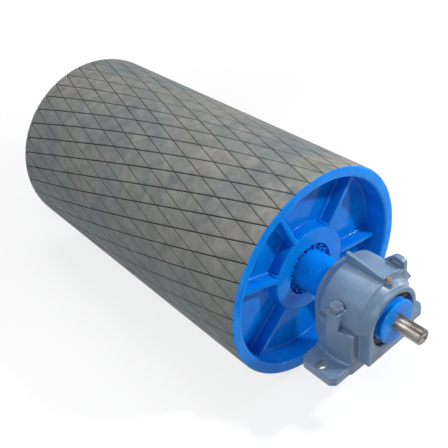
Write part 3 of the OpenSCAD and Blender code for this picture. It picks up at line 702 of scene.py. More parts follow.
class PULLEY_OT_lagging(PieceOperator, bpy.types.Operator):
    """Builds the rubber lagging with its crossing grooves and worn edges"""

    bl_idname = "pulley.lagging"
    bl_label = "Lagging"

    arc_steps = 5      # rings in the rounded end
    bare_rings = 2     # the first of them show rubber, the others the enamel that ran over them
    overlap = 0.0004   # how far the lagging's end reaches into the shell's outside
    lip_share = 0.10   # depth of the worn edge beside a groove, as a share of the groove's

    def execute(self, context):
        size = context.scene.pulley_drum
        starts, rows, rounding = size.groove_starts, size.groove_rows, size.lagging_round
        step = 2 * math.pi / starts
        reach = HALF_FACE - rounding
        row = 2 * reach / rows
        slope = math.atan(DRUM_R * step / 2 / row)
        pitch = DRUM_R * step * math.cos(slope)
        marks = [0.0, size.groove_floor, (size.groove_floor + size.groove_wall) / 2, size.groove_wall,
                 (size.groove_wall + size.groove_edge) / 2, size.groove_edge, 2 * size.groove_edge]
        shares = [m / pitch for m in marks] + [0.32, 0.5]
        shares = shares + [1 - s for s in reversed(shares[:-1])]
        last = len(shares) - 1

        def depth(share, full):
            away = min(share, 1 - share) * pitch
            if away <= size.groove_floor:
                return full
            if away >= size.groove_edge:
                return 0.0
            lip = full * self.lip_share
            if away <= size.groove_wall:
                t = (away - size.groove_floor) / (size.groove_wall - size.groove_floor)
                return full - (full - lip) * (t * t * (3 - 2 * t) * 0.35 + t * 0.65)
            t = (away - size.groove_wall) / (size.groove_edge - size.groove_wall)
            return lip * (1 - t) ** 2

        run_depths = [depth(s, size.groove_depth) for s in shares]
        cross_depths = [depth(s, size.cross_depth) for s in shares]
        found, points, faces, ends = {}, [], [], {-1: {}, 1: {}}

        def point(k, i, m, n):
            x = -reach + (k - 1 + shares[m] + shares[n]) * row
            a = (i + (k % 2) / 2 + 0.5 + (shares[m] - shares[n]) / 2) * step
            key = (round(x * 1e6), round(a / (2 * math.pi) * 1e7) % 10 ** 7)
            if key not in found:
                found[key] = len(points)
                r = DRUM_R - max(run_depths[m], cross_depths[n])
                points.append((x, r * math.cos(a), r * math.sin(a)))
                if abs(abs(x) - reach) < 1e-7:
                    ends[1 if x > 0 else -1][a % (2 * math.pi)] = found[key]
            return found[key]

        for k in range(rows + 1):
            for i in range(starts):
                for m in range(last):
                    for n in range(last):
                        beyond = m + n + 1 - last
                        quad = [(m, n), (m + 1, n), (m + 1, n + 1), (m, n + 1)]
                        if (k == 0 and beyond < 0) or (k == rows and beyond > 0):
                            continue
                        if k == 0 and beyond == 0:
                            quad = quad[1:]
                        if k == rows and beyond == 0:
                            quad = [quad[0], quad[1], quad[3]]
                        faces.append(tuple(point(k, i, *corner) for corner in quad))
        picks = [0] * len(faces)
        rims = []
        for end in (-1, 1):
            angles = sorted(ends[end])
            loop = [ends[end][a] for a in angles]
            for ring in range(1, self.arc_steps + 2):
                t = min(ring / self.arc_steps, 1.0) * math.pi / 2
                x = end * (reach + rounding * math.sin(t))
                outer = DRUM_R - rounding * (1 - math.cos(t))
                added = []
                for a, start in zip(angles, loop):
                    r = min(outer, math.hypot(*points[start][1:]))
                    if ring > self.arc_steps:
                        r = SHELL_R - self.overlap
                    added.append(len(points))
                    points.append((x, r * math.cos(a), r * math.sin(a)))
                for j in range(len(loop)):
                    n = (j + 1) % len(loop)
                    quad = (loop[j], loop[n], added[n], added[j])
                    faces.append(quad if end < 0 else tuple(reversed(quad)))
                    picks.append(1 if ring > self.bare_rings else 0)
                loop = added
            rims.append(loop)
        for j in range(min(len(rims[0]), len(rims[1]))):
            n = (j + 1) % len(rims[0])
            faces.append((rims[0][j], rims[0][n], rims[1][n], rims[1][j]))
            picks.append(0)
        piece = mesh_object("lagging_rubber", *outward((points, faces)),
                            [finish_of("rubber"), finish_of("enamel")], picks, math.radians(60))
        settle(piece, DRUM, "lagging_rubber", "lagging")
        return {"FINISHED"}


class PULLEY_OT_shell(PieceOperator, bpy.types.Operator):
    """Turns the steel shell with rounded, painted rims"""

    bl_idname = "pulley.shell"
    bl_label = "Shell"

    def execute(self, context):
        rim = context.scene.pulley_drum.rim_round
        set_in = 0.0002
        piece = turned_piece("drum_shell", [
            (SHELL_IN, -HALF_FACE + set_in, rim), (SHELL_R, -HALF_FACE + set_in, 0),
            (SHELL_R, HALF_FACE - set_in, 0), (SHELL_IN, HALF_FACE - set_in, rim)],
            [finish_of("enamel")], around=192)
        settle(piece, DRUM, "drum_paint", "shell")
        dress("stiffening_ring", "enamel")
        return {"FINISHED"}


class PULLEY_OT_end_discs(PieceOperator, bpy.types.Operator):
    """Turns the end discs with their fillets, and the hubs"""

    bl_idname = "pulley.end_discs"
    bl_label = "End discs and hubs"

    lip = 0.0006         # width of the fillet's end, where it dies out on hub and shell
    shaft_gap = 0.0002   # between hub and shaft

    def execute(self, context):
        size = context.scene.pulley_drum
        fillet, lip = size.disc_fillet, self.lip
        back, front = DISC_LOW.x - HALF_FACE, DISC_HIGH.x - HALF_FACE - fillet
        hub_back, hub_front = HUB_LOW.x - HALF_FACE, HUB_HIGH.x - HALF_FACE
        clamp_r, clamp_depth = CLAMP_HIGH.z, CLAMP_HIGH.x - HALF_FACE - CLAMP_LENGTH
        bore_r = SHAFT_HIGH.z + self.shaft_gap
        for name, side in STATIONS:
            disc = turned_piece("end_disc_plate_" + name, [
                (HUB_R, back, 0), (SHELL_IN, back, 0), (SHELL_IN, front + fillet, 0),
                (SHELL_IN - lip, front + fillet, 0), (SHELL_IN - lip, front, fillet),
                (HUB_R + lip, front, fillet), (HUB_R + lip, front + fillet, 0), (HUB_R, front + fillet, 0)],
                [finish_of("enamel")], around=192, steps=9, matrix=at_end(side))
            settle(disc, DRUM, "drum_paint", "end_disc_" + name)
            hub = turned_piece("hub_" + name + "_boss", [
                (bore_r, hub_back, 0.001), (HUB_R, hub_back, 0.003), (HUB_R, hub_front, size.hub_round),
                (clamp_r, hub_front, 0.0015), (clamp_r, clamp_depth, 0), (bore_r, clamp_depth, 0)],
                [finish_of("enamel")], around=160, matrix=at_end(side))
            settle(hub, DRUM, "drum_paint", "hub_" + name)
        return {"FINISHED"}


class PULLEY_OT_ribs(PieceOperator, bpy.types.Operator):
    """Builds the ribs of both ends with rounded edges, and the rippled welds that hold them"""

    bl_idname = "pulley.ribs"
    bl_label = "Ribs and welds"

    angles = (-8.0, 52.0, 113.0, 164.0, 222.0, 292.0)
    half_t = 0.007       # half of a rib's thickness
    weld_start = 0.002   # the welds on hub and shell start this far in front of the disc
    weld_end = 0.004     # and stop this far behind the ribs' front

    def plate(self, size, low_x, high_x):
        """One rib along +Y: a plate with rounded front edges that follows hub and shell."""
        edge, across, arcs = size.rib_round, 15, 4
        outline = [(low_x, self.half_t)]
        for k in range(arcs + 1):
            a = math.pi / 2 * k / arcs
            outline.append((high_x - edge + edge * math.sin(a), self.half_t - edge + edge * math.cos(a)))
        outline = outline + [(x, -z) for x, z in reversed(outline)]
        points = []
        for j in range(across):
            for x, z in outline:
                hub_y = math.sqrt(HUB_R ** 2 - z * z)
                shell_y = math.sqrt(SHELL_IN ** 2 - z * z)
                points.append((x, hub_y + (shell_y - hub_y) * j / (across - 1), z))
        return outward((points, tube_faces(across, len(outline))))

    def weld(self, size, path, out_a, out_b):
        """Rippled fillet weld along a path of points, with the two directions that its legs take."""
        points, arcs, run = [], 6, 0.0
        a, b = Vector(out_a), Vector(out_b)
        for j, p in enumerate(path):
            if j:
                run += (Vector(p) - Vector(path[j - 1])).length
            ripple = (run / size.weld_pitch) % 1.0
            leg = size.weld_leg * (1.0 + 0.07 * (ripple ** 2 - 0.3))
            points.append(tuple(p))
            for k in range(arcs + 1):
                t = k / arcs
                bulge = 0.16 * math.sin(math.pi * t) + (0.05 if 0 < k < arcs else 0.0) * ripple
                points.append(tuple(Vector(p) + a * leg * ((1 - t) + bulge) + b * leg * (t + bulge)))
        return outward((points, tube_faces(len(path), arcs + 2)))

    def execute(self, context):
        size = context.scene.pulley_drum
        front = DISC_HIGH.x - HALF_FACE - size.disc_fillet
        high_x = RIBS_HIGH.x - HALF_FACE
        step = size.weld_pitch / 4

        def spread(low, high):
            count = int((high - low) / step)
            return [low + (high - low) * k / count for k in range(count + 1)]

        for name, side in STATIONS:
            plates, welds = [], []
            for angle in self.angles:
                turn = at_end(side) @ Matrix.Rotation(math.radians(angle), 4, "X")
                plates.append(placed(self.plate(size, front, high_x), turn))
                for z_side in (-1, 1):
                    z, out = z_side * self.half_t, (0, 0, z_side)
                    half_fillet = size.disc_fillet * 0.5
                    xs = spread(front + self.weld_start, high_x - self.weld_end)
                    line = [(front, y, z) for y in spread(HUB_R + half_fillet, SHELL_IN - half_fillet)]
                    hub_line = [(x, math.sqrt(HUB_R ** 2 - z * z), z) for x in xs]
                    shell_line = [(x, math.sqrt(SHELL_IN ** 2 - z * z), z) for x in xs]
                    hub_out = (0, -z / HUB_R * z_side, z_side)
                    for path, out_a, out_b in ((line, (1, 0, 0), out), (hub_line, (0, 1, 0), hub_out),
                                               (shell_line, (0, -1, 0), out)):
                        welds.append(placed(self.weld(size, path, out_a, out_b), turn))
            for piece_name, parts, crease, nodes in (("rib_plates_", plates, 40, ["ribs_" + name]),
                                                     ("rib_welds_", welds, 60, [])):
                piece = mesh_object(piece_name + name, *merged(parts), [finish_of("enamel")], None,
                                    math.radians(crease))
                settle(piece, DRUM, "drum_paint", *nodes)
        return {"FINISHED"}


class PULLEY_OT_shaft(PieceOperator, bpy.types.Operator):
    """Turns the stepped shaft, painted up to its bare stub"""

    bl_idname = "pulley.shaft"
    bl_label = "Shaft"

    stub_r, drill_r = 0.0225, 0.005   # radii of the stub and of its centre drilling
    edge = 0.003                      # chamfer of the shaft's ends
    shoulder_gap = 0.008              # between the thick part and the housing

    def execute(self, context):
        free, tip, body_r = SHAFT_LOW.x, SHAFT_HIGH.x, SHAFT_HIGH.z
        shoulder = BASE_LOW.x - self.shoulder_gap
        collar_face, step_x = COLLAR_HIGH.x, BASE_HIGH.x + STEP_RUN
        stub_r, drill_r, edge = self.stub_r, self.drill_r, self.edge
        piece = turned_piece("drum_shaft", [
            (0, free, 0), (SEAT_R - edge, free, CRISP), (SEAT_R, free + edge, CRISP),
            (SEAT_R, -shoulder, 0.004), (body_r, -shoulder, 0.003), (body_r, shoulder, 0.003),
            (SEAT_R, shoulder, 0.004), (SEAT_R, step_x, CRISP), (STUB_ROOT_R, step_x, CRISP),
            (STUB_ROOT_R, collar_face, 0.0003), (stub_r, collar_face, 0.0003), (stub_r, tip - edge, 0.0006),
            (stub_r - edge, tip, 0.0006), (drill_r, tip, 0.0003), (drill_r / 2, tip - drill_r, 0.0002),
            (drill_r / 2, tip - 4 * drill_r, 0), (0, tip - 4.4 * drill_r, 0)],
            [finish_of("enamel"), finish_of("stub")], lambda r, x: 1 if x > BASE_HIGH.x else 0, around=144)
        settle(piece, DRUM, "shaft_steel", "shaft")
        return {"FINISHED"}


class PULLEY_OT_clamping(PieceOperator, bpy.types.Operator):
    """Builds the socket screws of the clamping elements and finishes their rings"""

    bl_idname = "pulley.clamping"
    bl_label = "Clamping elements"

    count, own_turn = 16, 0.7            # screws in a ring, and how far each one's socket is turned
    head_r, head_h = 0.008, 0.009
    socket_r, shank_r = 0.0046, 0.005

    def screw(self, head_r, head_h, socket_r, shank_r, shank_len, around=24):
        """Socket screw along +X, with its head's underside at 0; returns the part and the socket's faces."""
        def flat(a):
            return socket_r * math.cos(math.pi / 6) / math.cos((a % (math.pi / 3)) - math.pi / 6)

        edge = 0.001
        rings = [
            [ring] * around for ring in ((-shank_len, shank_r * 0.02), (-shank_len, shank_r), (0, shank_r),
                                         (0, head_r), (head_h - edge, head_r), (head_h, head_r - edge))]
        angles = [2 * math.pi * k / around for k in range(around)]
        rings.append([(head_h, flat(a)) for a in angles])
        rings.append([(head_h / 2, flat(a)) for a in angles])
        rings.append([(head_h / 2 - 0.0006, 0.0002)] * around)
        points = [(x, r * math.cos(a), r * math.sin(a)) for ring in rings for (x, r), a in zip(ring, angles)]
        # picks 1 for the faces inside the socket, which take the painted shade
        picks = [0] * (len(rings) - 3) * around + [1] * 2 * around + [0, 1]
        return outward((points, tube_faces(len(rings), around))), picks

    def execute(self, context):
        ring_r = SCREWS_HIGH.z - self.head_r
        front = SCREWS_HIGH.x - self.head_h - HALF_FACE
        back = CLAMP_HIGH.x - CLAMP_LENGTH - HALF_FACE
        part, picks = self.screw(self.head_r, self.head_h, self.socket_r, self.shank_r, front - back)
        parts, all_picks = [], []
        for name, side in STATIONS:
            for i in range(self.count):
                turn = Matrix.Rotation(i * 2 * math.pi / self.count, 4, "X")
                own = Matrix.Rotation(self.own_turn * i, 4, "X")
                parts.append(placed(part, at_end(side) @ turn @ Matrix.Translation((front, ring_r, 0)) @ own))
                all_picks.extend(picks)
        piece = mesh_object("clamp_socket_screws", *merged(parts),
                            [finish_of("thin enamel"), finish_of("socket")], all_picks, math.radians(30))
        settle(piece, DRUM, "bolt_steel", "clamp_screws")
        for node in ("clamp_inner_rings", "clamp_outer_rings", "clamp_front_rings"):
            dress(node, "thin enamel")
        dress("clamp_rear_rings", "ground")
        return {"FINISHED"}


class PULLEY_OT_collars(PieceOperator, bpy.types.Operator):
    """Turns the flinger collars, the seals and the end cover"""

    bl_idname = "pulley.collars"
    bl_label = "Collars, seals and cover"

    neck_r, neck_x = 0.056, 0.085   # the collar's neck: its radius, and where it starts
    disc_t = 0.008                  # thickness of the disc in front of it

    def execute(self, context):
        face, back = COLLAR_HIGH.x - BEARING_X, COLLAR_LOW.x - BEARING_X
        step_x, neck_r, neck_x = HALF_HOUSING + STEP_RUN, self.neck_r, self.neck_x
        disc_x = face - self.disc_t
        collar = turned_piece("collar_drive", [
            (SEAT_R, back, CRISP), (COLLAR_R, back, 0.001), (COLLAR_R, neck_x, 0.001),
            (neck_r, neck_x + 0.002, 0.003), (neck_r, disc_x - 0.001, 0.003), (COLLAR_R, disc_x, 0.002),
            (COLLAR_R, face, 0.0055), (STUB_ROOT_R, face, 0.0012), (STUB_ROOT_R, step_x, 0),
            (SEAT_R, step_x, 0)],
            [finish_of("enamel")], around=128, steps=8, matrix=at_station(1))
        settle(collar, DRUM, "drum_paint", "flinger_drive_outer")
        for name, side in STATIONS:
            low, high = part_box("flinger_" + name + "_inner")
            near, far = sorted(abs(v) - BEARING_X for v in (low.x, high.x))
            inner = turned_piece("flinger_ring_" + name, [
                (SEAT_R, near, 0.0008), (COLLAR_R, near, 0.003), (COLLAR_R, far, 0.001), (SEAT_R, far, CRISP)],
                [finish_of("enamel")], matrix=at_station(side))
            settle(inner, DRUM, "drum_paint", "flinger_" + name + "_inner")
        seal_in, seal_out = COLLAR_R + 0.0003, SEALS_HIGH.z
        x0, x1 = SEALS_HIGH.x - SEAL_WIDTH - BEARING_X, SEALS_HIGH.x - BEARING_X
        ring = outward(lathe(rounded([
            (seal_in, x0, 0.0006), (seal_out, x0, CRISP), (seal_out, x1, CRISP), (seal_out - 0.004, x1, CRISP),
            (seal_in + 0.009, x1 - 0.0025, 0.0015), (seal_in + 0.003, (x0 + x1) / 2, 0.0008),
            (seal_in + 0.002, x1, 0.0008), (seal_in, x1 - 0.001, 0.0004)], 4), 128))
        mirror = Matrix.Scale(-1, 4, (1, 0, 0))
        seals = [placed(ring, place) for place in
                 (at_station(1), at_station(1) @ mirror, at_station(-1) @ mirror)]
        piece = mesh_object("shaft_seals", *merged(seals), [finish_of("seal")], None, math.radians(35))
        settle(piece, HOUSINGS, "seal_rubber", "seal_rings")
        inside, outside = -COVER_HIGH.x - BEARING_X, -COVER_LOW.x - BEARING_X
        rim_r, lip, dish = COVER_HIGH.z, 0.004, 0.0025
        cover = turned_piece("end_cover_disc", [
            (0, inside, 0), (rim_r, inside, CRISP), (rim_r, outside - lip, 0.0008),
            (rim_r - 0.005, outside - lip, CRISP), (rim_r - 0.005, outside, 0.0025), (0.050, outside, 0.002),
            (0.044, outside - dish, 0.002), (0, outside - dish, 0)],
            [finish_of("casting")], around=144, matrix=at_station(-1))
        settle(cover, HOUSINGS, "housing_casting", "end_cover_free")
        return {"FINISHED"}


def cut_bores(d, size, X, Y, Z):
    """The casting's field without its bearing seat, shaft openings and seal grooves."""
    radius = np.sqrt(Y ** 2 + Z ** 2)
    opening = radius - size.opening_r
    seat = np.maximum(radius - BEARING_R - 0.00005, np.abs(X) - SEAT_LENGTH / 2)
    seal_x = SEALS_HIGH.x - BEARING_X - SEAL_WIDTH / 2
    groove = np.maximum(radius - SEALS_HIGH.z, np.abs(np.abs(X) - seal_x) - SEAL_WIDTH / 2)
    mouth = radius - size.opening_r - np.maximum(np.abs(X) - HALF_HOUSING + 0.002, 0)
    d = np.maximum(d, -np.minimum(opening, mouth))
    d = np.maximum(d, -seat)
    return np.maximum(d, -groove)


def cast_pair(kind, field, high_y, low_z, high_z):
    """Casts a form once and sets it in both housings."""
    voxel = bpy.context.scene.pulley_housing.voxel * 1.0
    part = outward(cast(field, (-HALF_HOUSING, -high_y, low_z), (HALF_HOUSING, high_y, high_z), voxel))
    for name, side in STATIONS:
        piece = mesh_object("housing_" + kind + "_casting_" + name, *placed(part, at_station(side)),
                            [finish_of("casting")])
        settle(piece, HOUSINGS, "housing_casting", "housing_" + kind + "_" + name)


class PULLEY_OT_housing_bases(PieceOperator, bpy.types.Operator):
    """Casts the bases of both housings with foot, body, noses and bolt pillars"""

    bl_idname = "pulley.housing_bases"
    bl_label = "Housing bases"

    slot_r, slot_run = 0.013, 0.005              # the foot's slots: radius, and half the straight run
    thread_r, thread_depth = 0.0122, 0.0455      # the cap bolts' threaded holes

    def field(self, size):
        foot_top = FOOT_Z + size.foot_t

        def base(X, Y, Z):
            edge, fillet = size.edge, size.fillet
            foot = box_field(X, Y, Z, (-size.foot_half, -FOOT_Y, FOOT_Z),
                             (size.foot_half, FOOT_Y, foot_top), edge)
            corner = (np.abs(X) + np.abs(Y) - size.foot_half - FOOT_Y + size.foot_corner) / math.sqrt(2)
            foot = met(foot, corner, 0.003)
            slant = (PILLAR_Y - size.base_half) / (size.body_half - size.pillar_half)
            side = np.abs(Y) - PILLAR_Y + slant * np.maximum(np.abs(X) - size.pillar_half, 0)
            body = met(np.abs(X) - size.body_half, side / math.hypot(1, slant), 0.005)
            nose = box_field(X, Y, Z, (-HALF_HOUSING, -size.nose_r, foot_top - 0.001),
                             (HALF_HOUSING, size.nose_r, 0.02), edge)
            d = joined(body, nose, fillet * 0.8)
            d = joined(d, foot, fillet * 1.3)
            d = np.maximum(d, Z)
            d = np.maximum(d, FOOT_Z - Z)
            d = cut_bores(d, size, X, Y, Z)
            for y in (-size.slot_y, size.slot_y):
                run = np.maximum(np.abs(Y - y) - self.slot_run, 0)
                d = trimmed(d, np.sqrt(X ** 2 + run ** 2) - self.slot_r, 0.0015)
            for y in (-size.bolt_y, size.bolt_y):
                place = np.sqrt(X ** 2 + (Y - y) ** 2)
                d = np.maximum(d, -np.maximum(place - self.thread_r, -self.thread_depth - Z))
            return d

        return base

    def execute(self, context):
        cast_pair("base", self.field(context.scene.pulley_housing), FOOT_Y, FOOT_Z, 0.0)
        return {"FINISHED"}


class PULLEY_OT_housing_caps(PieceOperator, bpy.types.Operator):
    """Casts the caps of both housings with arch, pad, bolt pillars, rib and lifting lug"""

    bl_idname = "pulley.housing_caps"
    bl_label = "Housing caps"

    hole_r, spot_r = 0.013, 0.0225   # the bolt holes, and the room for a bolt's head round them
    boss_r = 0.009                   # the grease nipple's boss

    def lug(self, size, X, Y, Z):
        """Lifting lug: a plate with one long slope and one cut corner."""
        slope, cut_x, cut_z = 0.038, 0.012, 0.008
        long_slope = (Z - size.lug_top - (X - size.body_half + size.lug_len - slope)) / math.sqrt(2)
        corner = (X - size.body_half + cut_x) * cut_z + (Z - size.lug_top) * cut_x
        corner = corner / math.hypot(cut_x, cut_z)
        plate = met(met(Z - size.lug_top, long_slope, 0.005), corner, 0.004)
        plate = met(plate, np.maximum(X - size.body_half, size.body_half - size.lug_len - X), 0.004)
        plate = np.maximum(plate, 0.04 - Z)
        return met(plate, np.abs(Y - size.lug_y - size.lug_t / 2) - size.lug_t / 2, 0.004)

    def field(self, size):
        def cap(X, Y, Z):
            edge, fillet = size.edge, size.fillet
            middle = bar_field(Y, Z, X, size.body_r, -size.body_half, size.body_half, 0.001)
            nose = bar_field(Y, Z, X, size.nose_r, -HALF_HOUSING, HALF_HOUSING, edge)
            pillar = box_field(X, Y, Z, (-size.pillar_half, -PILLAR_Y, -0.02),
                               (size.pillar_half, PILLAR_Y, size.pillar_h), edge * 0.7)
            pad = bar_field(Y, Z, X, size.pad_r, -size.body_half, size.body_half, edge)
            pad = met(met(pad, -size.rib_edge - Y, edge), size.pillar_h - Z, edge)
            fall = (CAP_TOP - size.pad_r) / (2 * size.body_half)
            crest = (Z - CAP_TOP + fall * (X + size.body_half)) / math.hypot(1, fall)
            rib = met(np.abs(Y + size.rib_edge - size.rib_t / 2) - size.rib_t / 2, crest, edge)
            rib = met(rib, np.abs(X) - size.body_half, edge)
            radius = np.sqrt(Y ** 2 + Z ** 2)
            run = (size.body_r - size.step - size.nose_r) / size.shoulder
            shoulder = radius - size.body_r + size.step + run * (np.abs(X) - size.body_half)
            shoulder = np.maximum(shoulder / math.hypot(1, run), radius - size.body_r + size.step)
            shoulder = np.maximum(shoulder, np.abs(X) - size.body_half - size.shoulder)
            d = joined(joined(middle, nose, fillet), shoulder, edge)
            boss = bar_field(X - size.nipple_x, Y - size.nipple_y, Z,
                             self.boss_r, 0.09, size.nipple_seat, 0.0015)
            for form, blend in ((pillar, fillet * 0.7), (pad, fillet * 0.5), (rib, fillet * 0.5),
                                (self.lug(size, X, Y, Z), fillet * 0.7), (boss, 0.006)):
                d = joined(d, form, blend)
            d = np.maximum(d, -Z)
            d = cut_bores(d, size, X, Y, Z)
            low = size.body_half - 0.044, size.lug_y - 0.02, size.lug_top - 0.028
            high = size.body_half - 0.008, size.lug_y + size.lug_t + 0.02, size.lug_top - 0.016
            eye = box_field(X, Y, Z, low, high, 0.004)
            d = trimmed(d, eye, 0.0015)
            for y in (-size.bolt_y, size.bolt_y):
                place = np.sqrt(X ** 2 + (Y - y) ** 2)
                d = np.maximum(d, -(place - self.hole_r))
                d = trimmed(d, np.maximum(place - self.spot_r, size.pillar_h - Z), 0.002)
            return d

        return cap

    def execute(self, context):
        cast_pair("cap", self.field(context.scene.pulley_housing), PILLAR_Y, 0.0, CAP_TOP)
        return {"FINISHED"}


class PULLEY_OT_fasteners(PieceOperator, bpy.types.Operator):
    """Builds the cap bolts with chamfered heads, and finishes the grease nipples and the cap dowels"""

    bl_idname = "pulley.fasteners"
    bl_label = "Cap bolts and nipples"

    flat_half, shank_r = 0.018, 0.012   # half the width across flats, and the shank
    grip = 0.045                        # how far a bolt reaches into the base

    def bolt(self, flat_half, head_h, shank_r, shank_len, around=48):
        """Hexagon bolt along +Z with its head's underside at 0."""
        def side_r(a):
            return flat_half / math.cos((a % (math.pi / 3)) - math.pi / 6)

        angles = [2 * math.pi * k / around for k in range(around)]
        face_r = flat_half * 0.94

        def chamfer(a):
            return head_h - (side_r(a) - face_r) * math.tan(math.radians(30))

        under_r, skirt, bevel, centre_r = flat_half * 0.95, 0.0008, 0.0004, 0.0002
        rings = [[ring] * around for ring in ((-shank_len, centre_r), (-shank_len, shank_r), (0.0, shank_r),
                                              (0.0, under_r), (skirt, under_r))]
        rings.append([(skirt, side_r(a)) for a in angles])
        rings.append([(chamfer(a) - bevel, side_r(a)) for a in angles])
        rings.append([(chamfer(a), side_r(a) - bevel) for a in angles])
        rings += [[ring] * around for ring in ((head_h, face_r), (head_h - bevel, face_r * 0.93),
                                               (head_h - bevel, centre_r))]
        points = [(r * math.cos(a), r * math.sin(a), z) for ring in rings for (z, r), a in zip(ring, angles)]
        return outward((points, tube_faces(len(rings), around)))

    def execute(self, context):
        size = context.scene.pulley_housing
        seat = size.pillar_h
        part = self.bolt(self.flat_half, BOLTS_HIGH.z - seat, self.shank_r, seat + self.grip)
        bolts = []
        for name, side in STATIONS:
            for y, turn in ((-size.bolt_y, 0.18), (size.bolt_y, 0.62)):
                place = at_station(side) @ Matrix.Translation((0, y, seat))
                bolts.append(placed(part, place @ Matrix.Rotation(turn, 4, "Z")))
        piece = mesh_object("cap_hex_bolts", *merged(bolts), [finish_of("bolt")], None, math.radians(25))
        settle(piece, HOUSINGS, "bolt_steel", "cap_bolts")
        dress("grease_nipples", "brass")
        dress("cap_dowels", "ground")
        return {"FINISHED"}


class PULLEY_OT_bearings(PieceOperator, bpy.types.Operator):
    """Finishes the bearings, sleeves and nuts inside the housings"""

    bl_idname = "pulley.bearings"
    bl_label = "Bearings"

    def execute(self, context):
        for name, side in STATIONS:
            for node in ("bearing_inner_ring_", "bearing_outer_ring_", "rollers_"):
                dress(node + name, "ground")
            dress("cage_" + name, "brass")
        for node in ("adapter_sleeves", "lock_nuts", "locating_rings"):
            dress(node, "ground")
        dress("lock_washers", "bolt")
        return {"FINISHED"}


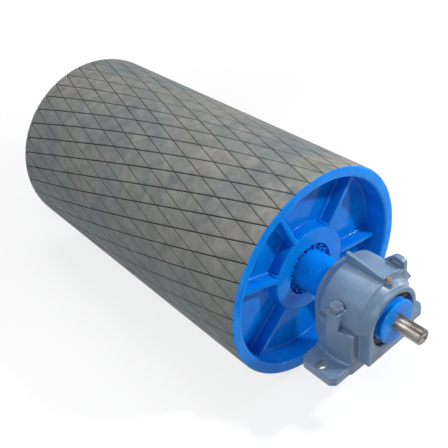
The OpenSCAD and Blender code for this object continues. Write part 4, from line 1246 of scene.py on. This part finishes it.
class PULLEY_OT_stage(PieceOperator, bpy.types.Operator):
    """Sets up the pale floor, the soft lights and the camera"""

    bl_idname = "pulley.stage"
    bl_label = "Stage"

    shadow_white = 0.76                # how white the floor is by itself near the pulley
    white_from, white_at = 1.0, 2.1    # distances between which it turns all white
    floor_gap = 0.002                  # between the drum and the floor

    def plain_rays(self, t):
        """1 for the rays that show the plain background: camera, glossy and transmission rays."""
        path = t.add("ShaderNodeLightPath")
        straight = t.math("MAXIMUM", path.outputs["Is Camera Ray"], path.outputs["Is Transmission Ray"])
        return t.math("MAXIMUM", straight, path.outputs["Is Glossy Ray"])

    def floor_material(self):
        """White to the eye away from the pulley; near it the light and the pulley's shadow show as well."""
        material = bpy.data.materials.new("pale floor")
        material.use_nodes = True
        t = Tree(material.node_tree)
        t.tree.nodes.remove(t.tree.nodes["Principled BSDF"])
        output = t.tree.nodes["Material Output"]
        reach = t.add("ShaderNodeVectorMath", {0: t.place()}, operation="LENGTH").outputs["Value"]
        far = t.ramp(reach, self.white_from, self.white_at, self.shadow_white, 1.0)
        seen = self.plain_rays(t)
        whiteness = t.math("MULTIPLY", seen, far)
        pale = t.mix(seen, (0.72, 0.72, 0.72, 1.0), (0.98, 0.98, 0.98, 1.0))
        lit = t.add("ShaderNodeBsdfDiffuse", {"Color": pale})
        white = t.add("ShaderNodeEmission", {"Color": (1.0, 1.0, 1.0, 1.0), "Strength": 1.0})
        mixed = t.add("ShaderNodeMixShader", {0: whiteness})
        t.tree.links.new(lit.outputs[0], mixed.inputs[1])
        t.tree.links.new(white.outputs[0], mixed.inputs[2])
        t.tree.links.new(mixed.outputs[0], output.inputs["Surface"])
        return material

    def lamp(self, name, place, target, size, power, tint):
        data = bpy.data.lights.new(name, "AREA")
        data.shape = "RECTANGLE"
        data.size, data.size_y = size
        data.energy = power
        data.color = tint
        lamp = bpy.data.objects.new(name, data)
        lamp.location = place
        lamp.rotation_euler = (Vector(target) - Vector(place)).to_track_quat("-Z", "Y").to_euler()
        bpy.context.scene.collection.objects.link(lamp)

    def execute(self, context):
        scene = context.scene
        stage = scene.pulley_stage
        ground = -DRUM_R - self.floor_gap
        corners = [(x, y, ground) for x, y in ((-9, -9), (9, -9), (9, 9), (-9, 9))]
        floor = mesh_object("floor", corners, [(0, 1, 2, 3)], [self.floor_material()])
        world = bpy.data.worlds.new("pale sky")
        world.use_nodes = True
        scene.world = world
        t = Tree(world.node_tree)
        back = t.tree.nodes["Background"]
        back.inputs["Color"].default_value = (0.97, 0.98, 1.0, 1.0)
        seen = self.plain_rays(t)
        t.put(back.inputs["Strength"], t.add("ShaderNodeMapRange", {
            "Value": seen, "To Min": stage.sky, "To Max": 1.0}).outputs["Result"])
        white = (1.0, 1.0, 1.0)
        for name, place, target, size, level, tint in (
                ("key", (-0.3, 0.4, 2.7), (0.1, 0, 0), (1.8, 0.9), stage.key, (1.0, 0.985, 0.96)),
                ("side fill", (0.7, -2.1, 1.9), (0.4, 0, 0), (1.6, 0.8), stage.fill, (0.95, 0.97, 1.0)),
                ("front lamp", (1.8, 1.05, 1.6), (0.6, 0, 0), (0.16, 0.16), stage.front, white),
                ("far strip", (0.95, 2.3, 0.55), (0.55, -0.1, -0.15), (0.10, 0.9), stage.edge, white)):
            self.lamp(name, place, target, size, level, tint)
        camera = bpy.data.objects.new("camera", bpy.data.cameras.new("camera"))
        camera.data.lens = stage.lens
        camera.data.sensor_width = 36.0
        camera.data.clip_end = 60.0
        right, ahead = Vector((0.6515, 0.7519, -0.1006)), Vector((-0.6413, 0.4751, -0.6025))
        ahead.normalize()
        right = (right - ahead * right.dot(ahead)).normalized()
        up = right.cross(ahead).normalized()
        turn = Matrix((right, up, -ahead)).transposed().to_4x4()
        camera.matrix_world = Matrix.Translation((1.5793, -1.0576, 1.3060)) @ turn
        scene.collection.objects.link(camera)
        scene.camera = camera
        scene.view_settings.view_transform = "Standard"
        return {"FINISHED"}


OPERATORS = (
    PULLEY_OT_lagging, PULLEY_OT_shell, PULLEY_OT_end_discs, PULLEY_OT_ribs, PULLEY_OT_shaft,
    PULLEY_OT_clamping, PULLEY_OT_collars, PULLEY_OT_housing_bases, PULLEY_OT_housing_caps,
    PULLEY_OT_fasteners, PULLEY_OT_bearings, PULLEY_OT_stage)
SETTINGS = (
    ("pulley_drum", PULLEY_PG_drum), ("pulley_housing", PULLEY_PG_housing),
    ("pulley_finish", PULLEY_PG_finish), ("pulley_stage", PULLEY_PG_stage))


class PULLEY_PT_panel(bpy.types.Panel):
    """Lists the pulley's sizes and pieces"""

    bl_label = "Conveyor Pulley"
    bl_idname = "PULLEY_PT_panel"
    bl_space_type = "VIEW_3D"
    bl_region_type = "UI"
    bl_category = "Pulley"

    def draw(self, context):
        for label, group in SETTINGS:
            box = self.layout.box()
            settings = getattr(context.scene, label)
            for name in group.__annotations__:
                box.prop(settings, name)
        for operator in OPERATORS:
            self.layout.operator(operator.bl_idname)


def register():
    for label, group in SETTINGS:
        bpy.utils.register_class(group)
        setattr(bpy.types.Scene, label, bpy.props.PointerProperty(type=group))
    for operator in OPERATORS:
        bpy.utils.register_class(operator)
    bpy.utils.register_class(PULLEY_PT_panel)


def unregister():
    bpy.utils.unregister_class(PULLEY_PT_panel)
    for operator in reversed(OPERATORS):
        bpy.utils.unregister_class(operator)
    for label, group in reversed(SETTINGS):
        delattr(bpy.types.Scene, label)
        bpy.utils.unregister_class(group)


def main():
    register()
    for operator in OPERATORS:
        family, name = operator.bl_idname.split(".")
        if getattr(getattr(bpy.ops, family), name)() != {"FINISHED"}:
            raise RuntimeError(operator.bl_label + " was not built")
    bpy.context.view_layer.update()


if __name__ == "__main__":
    main()
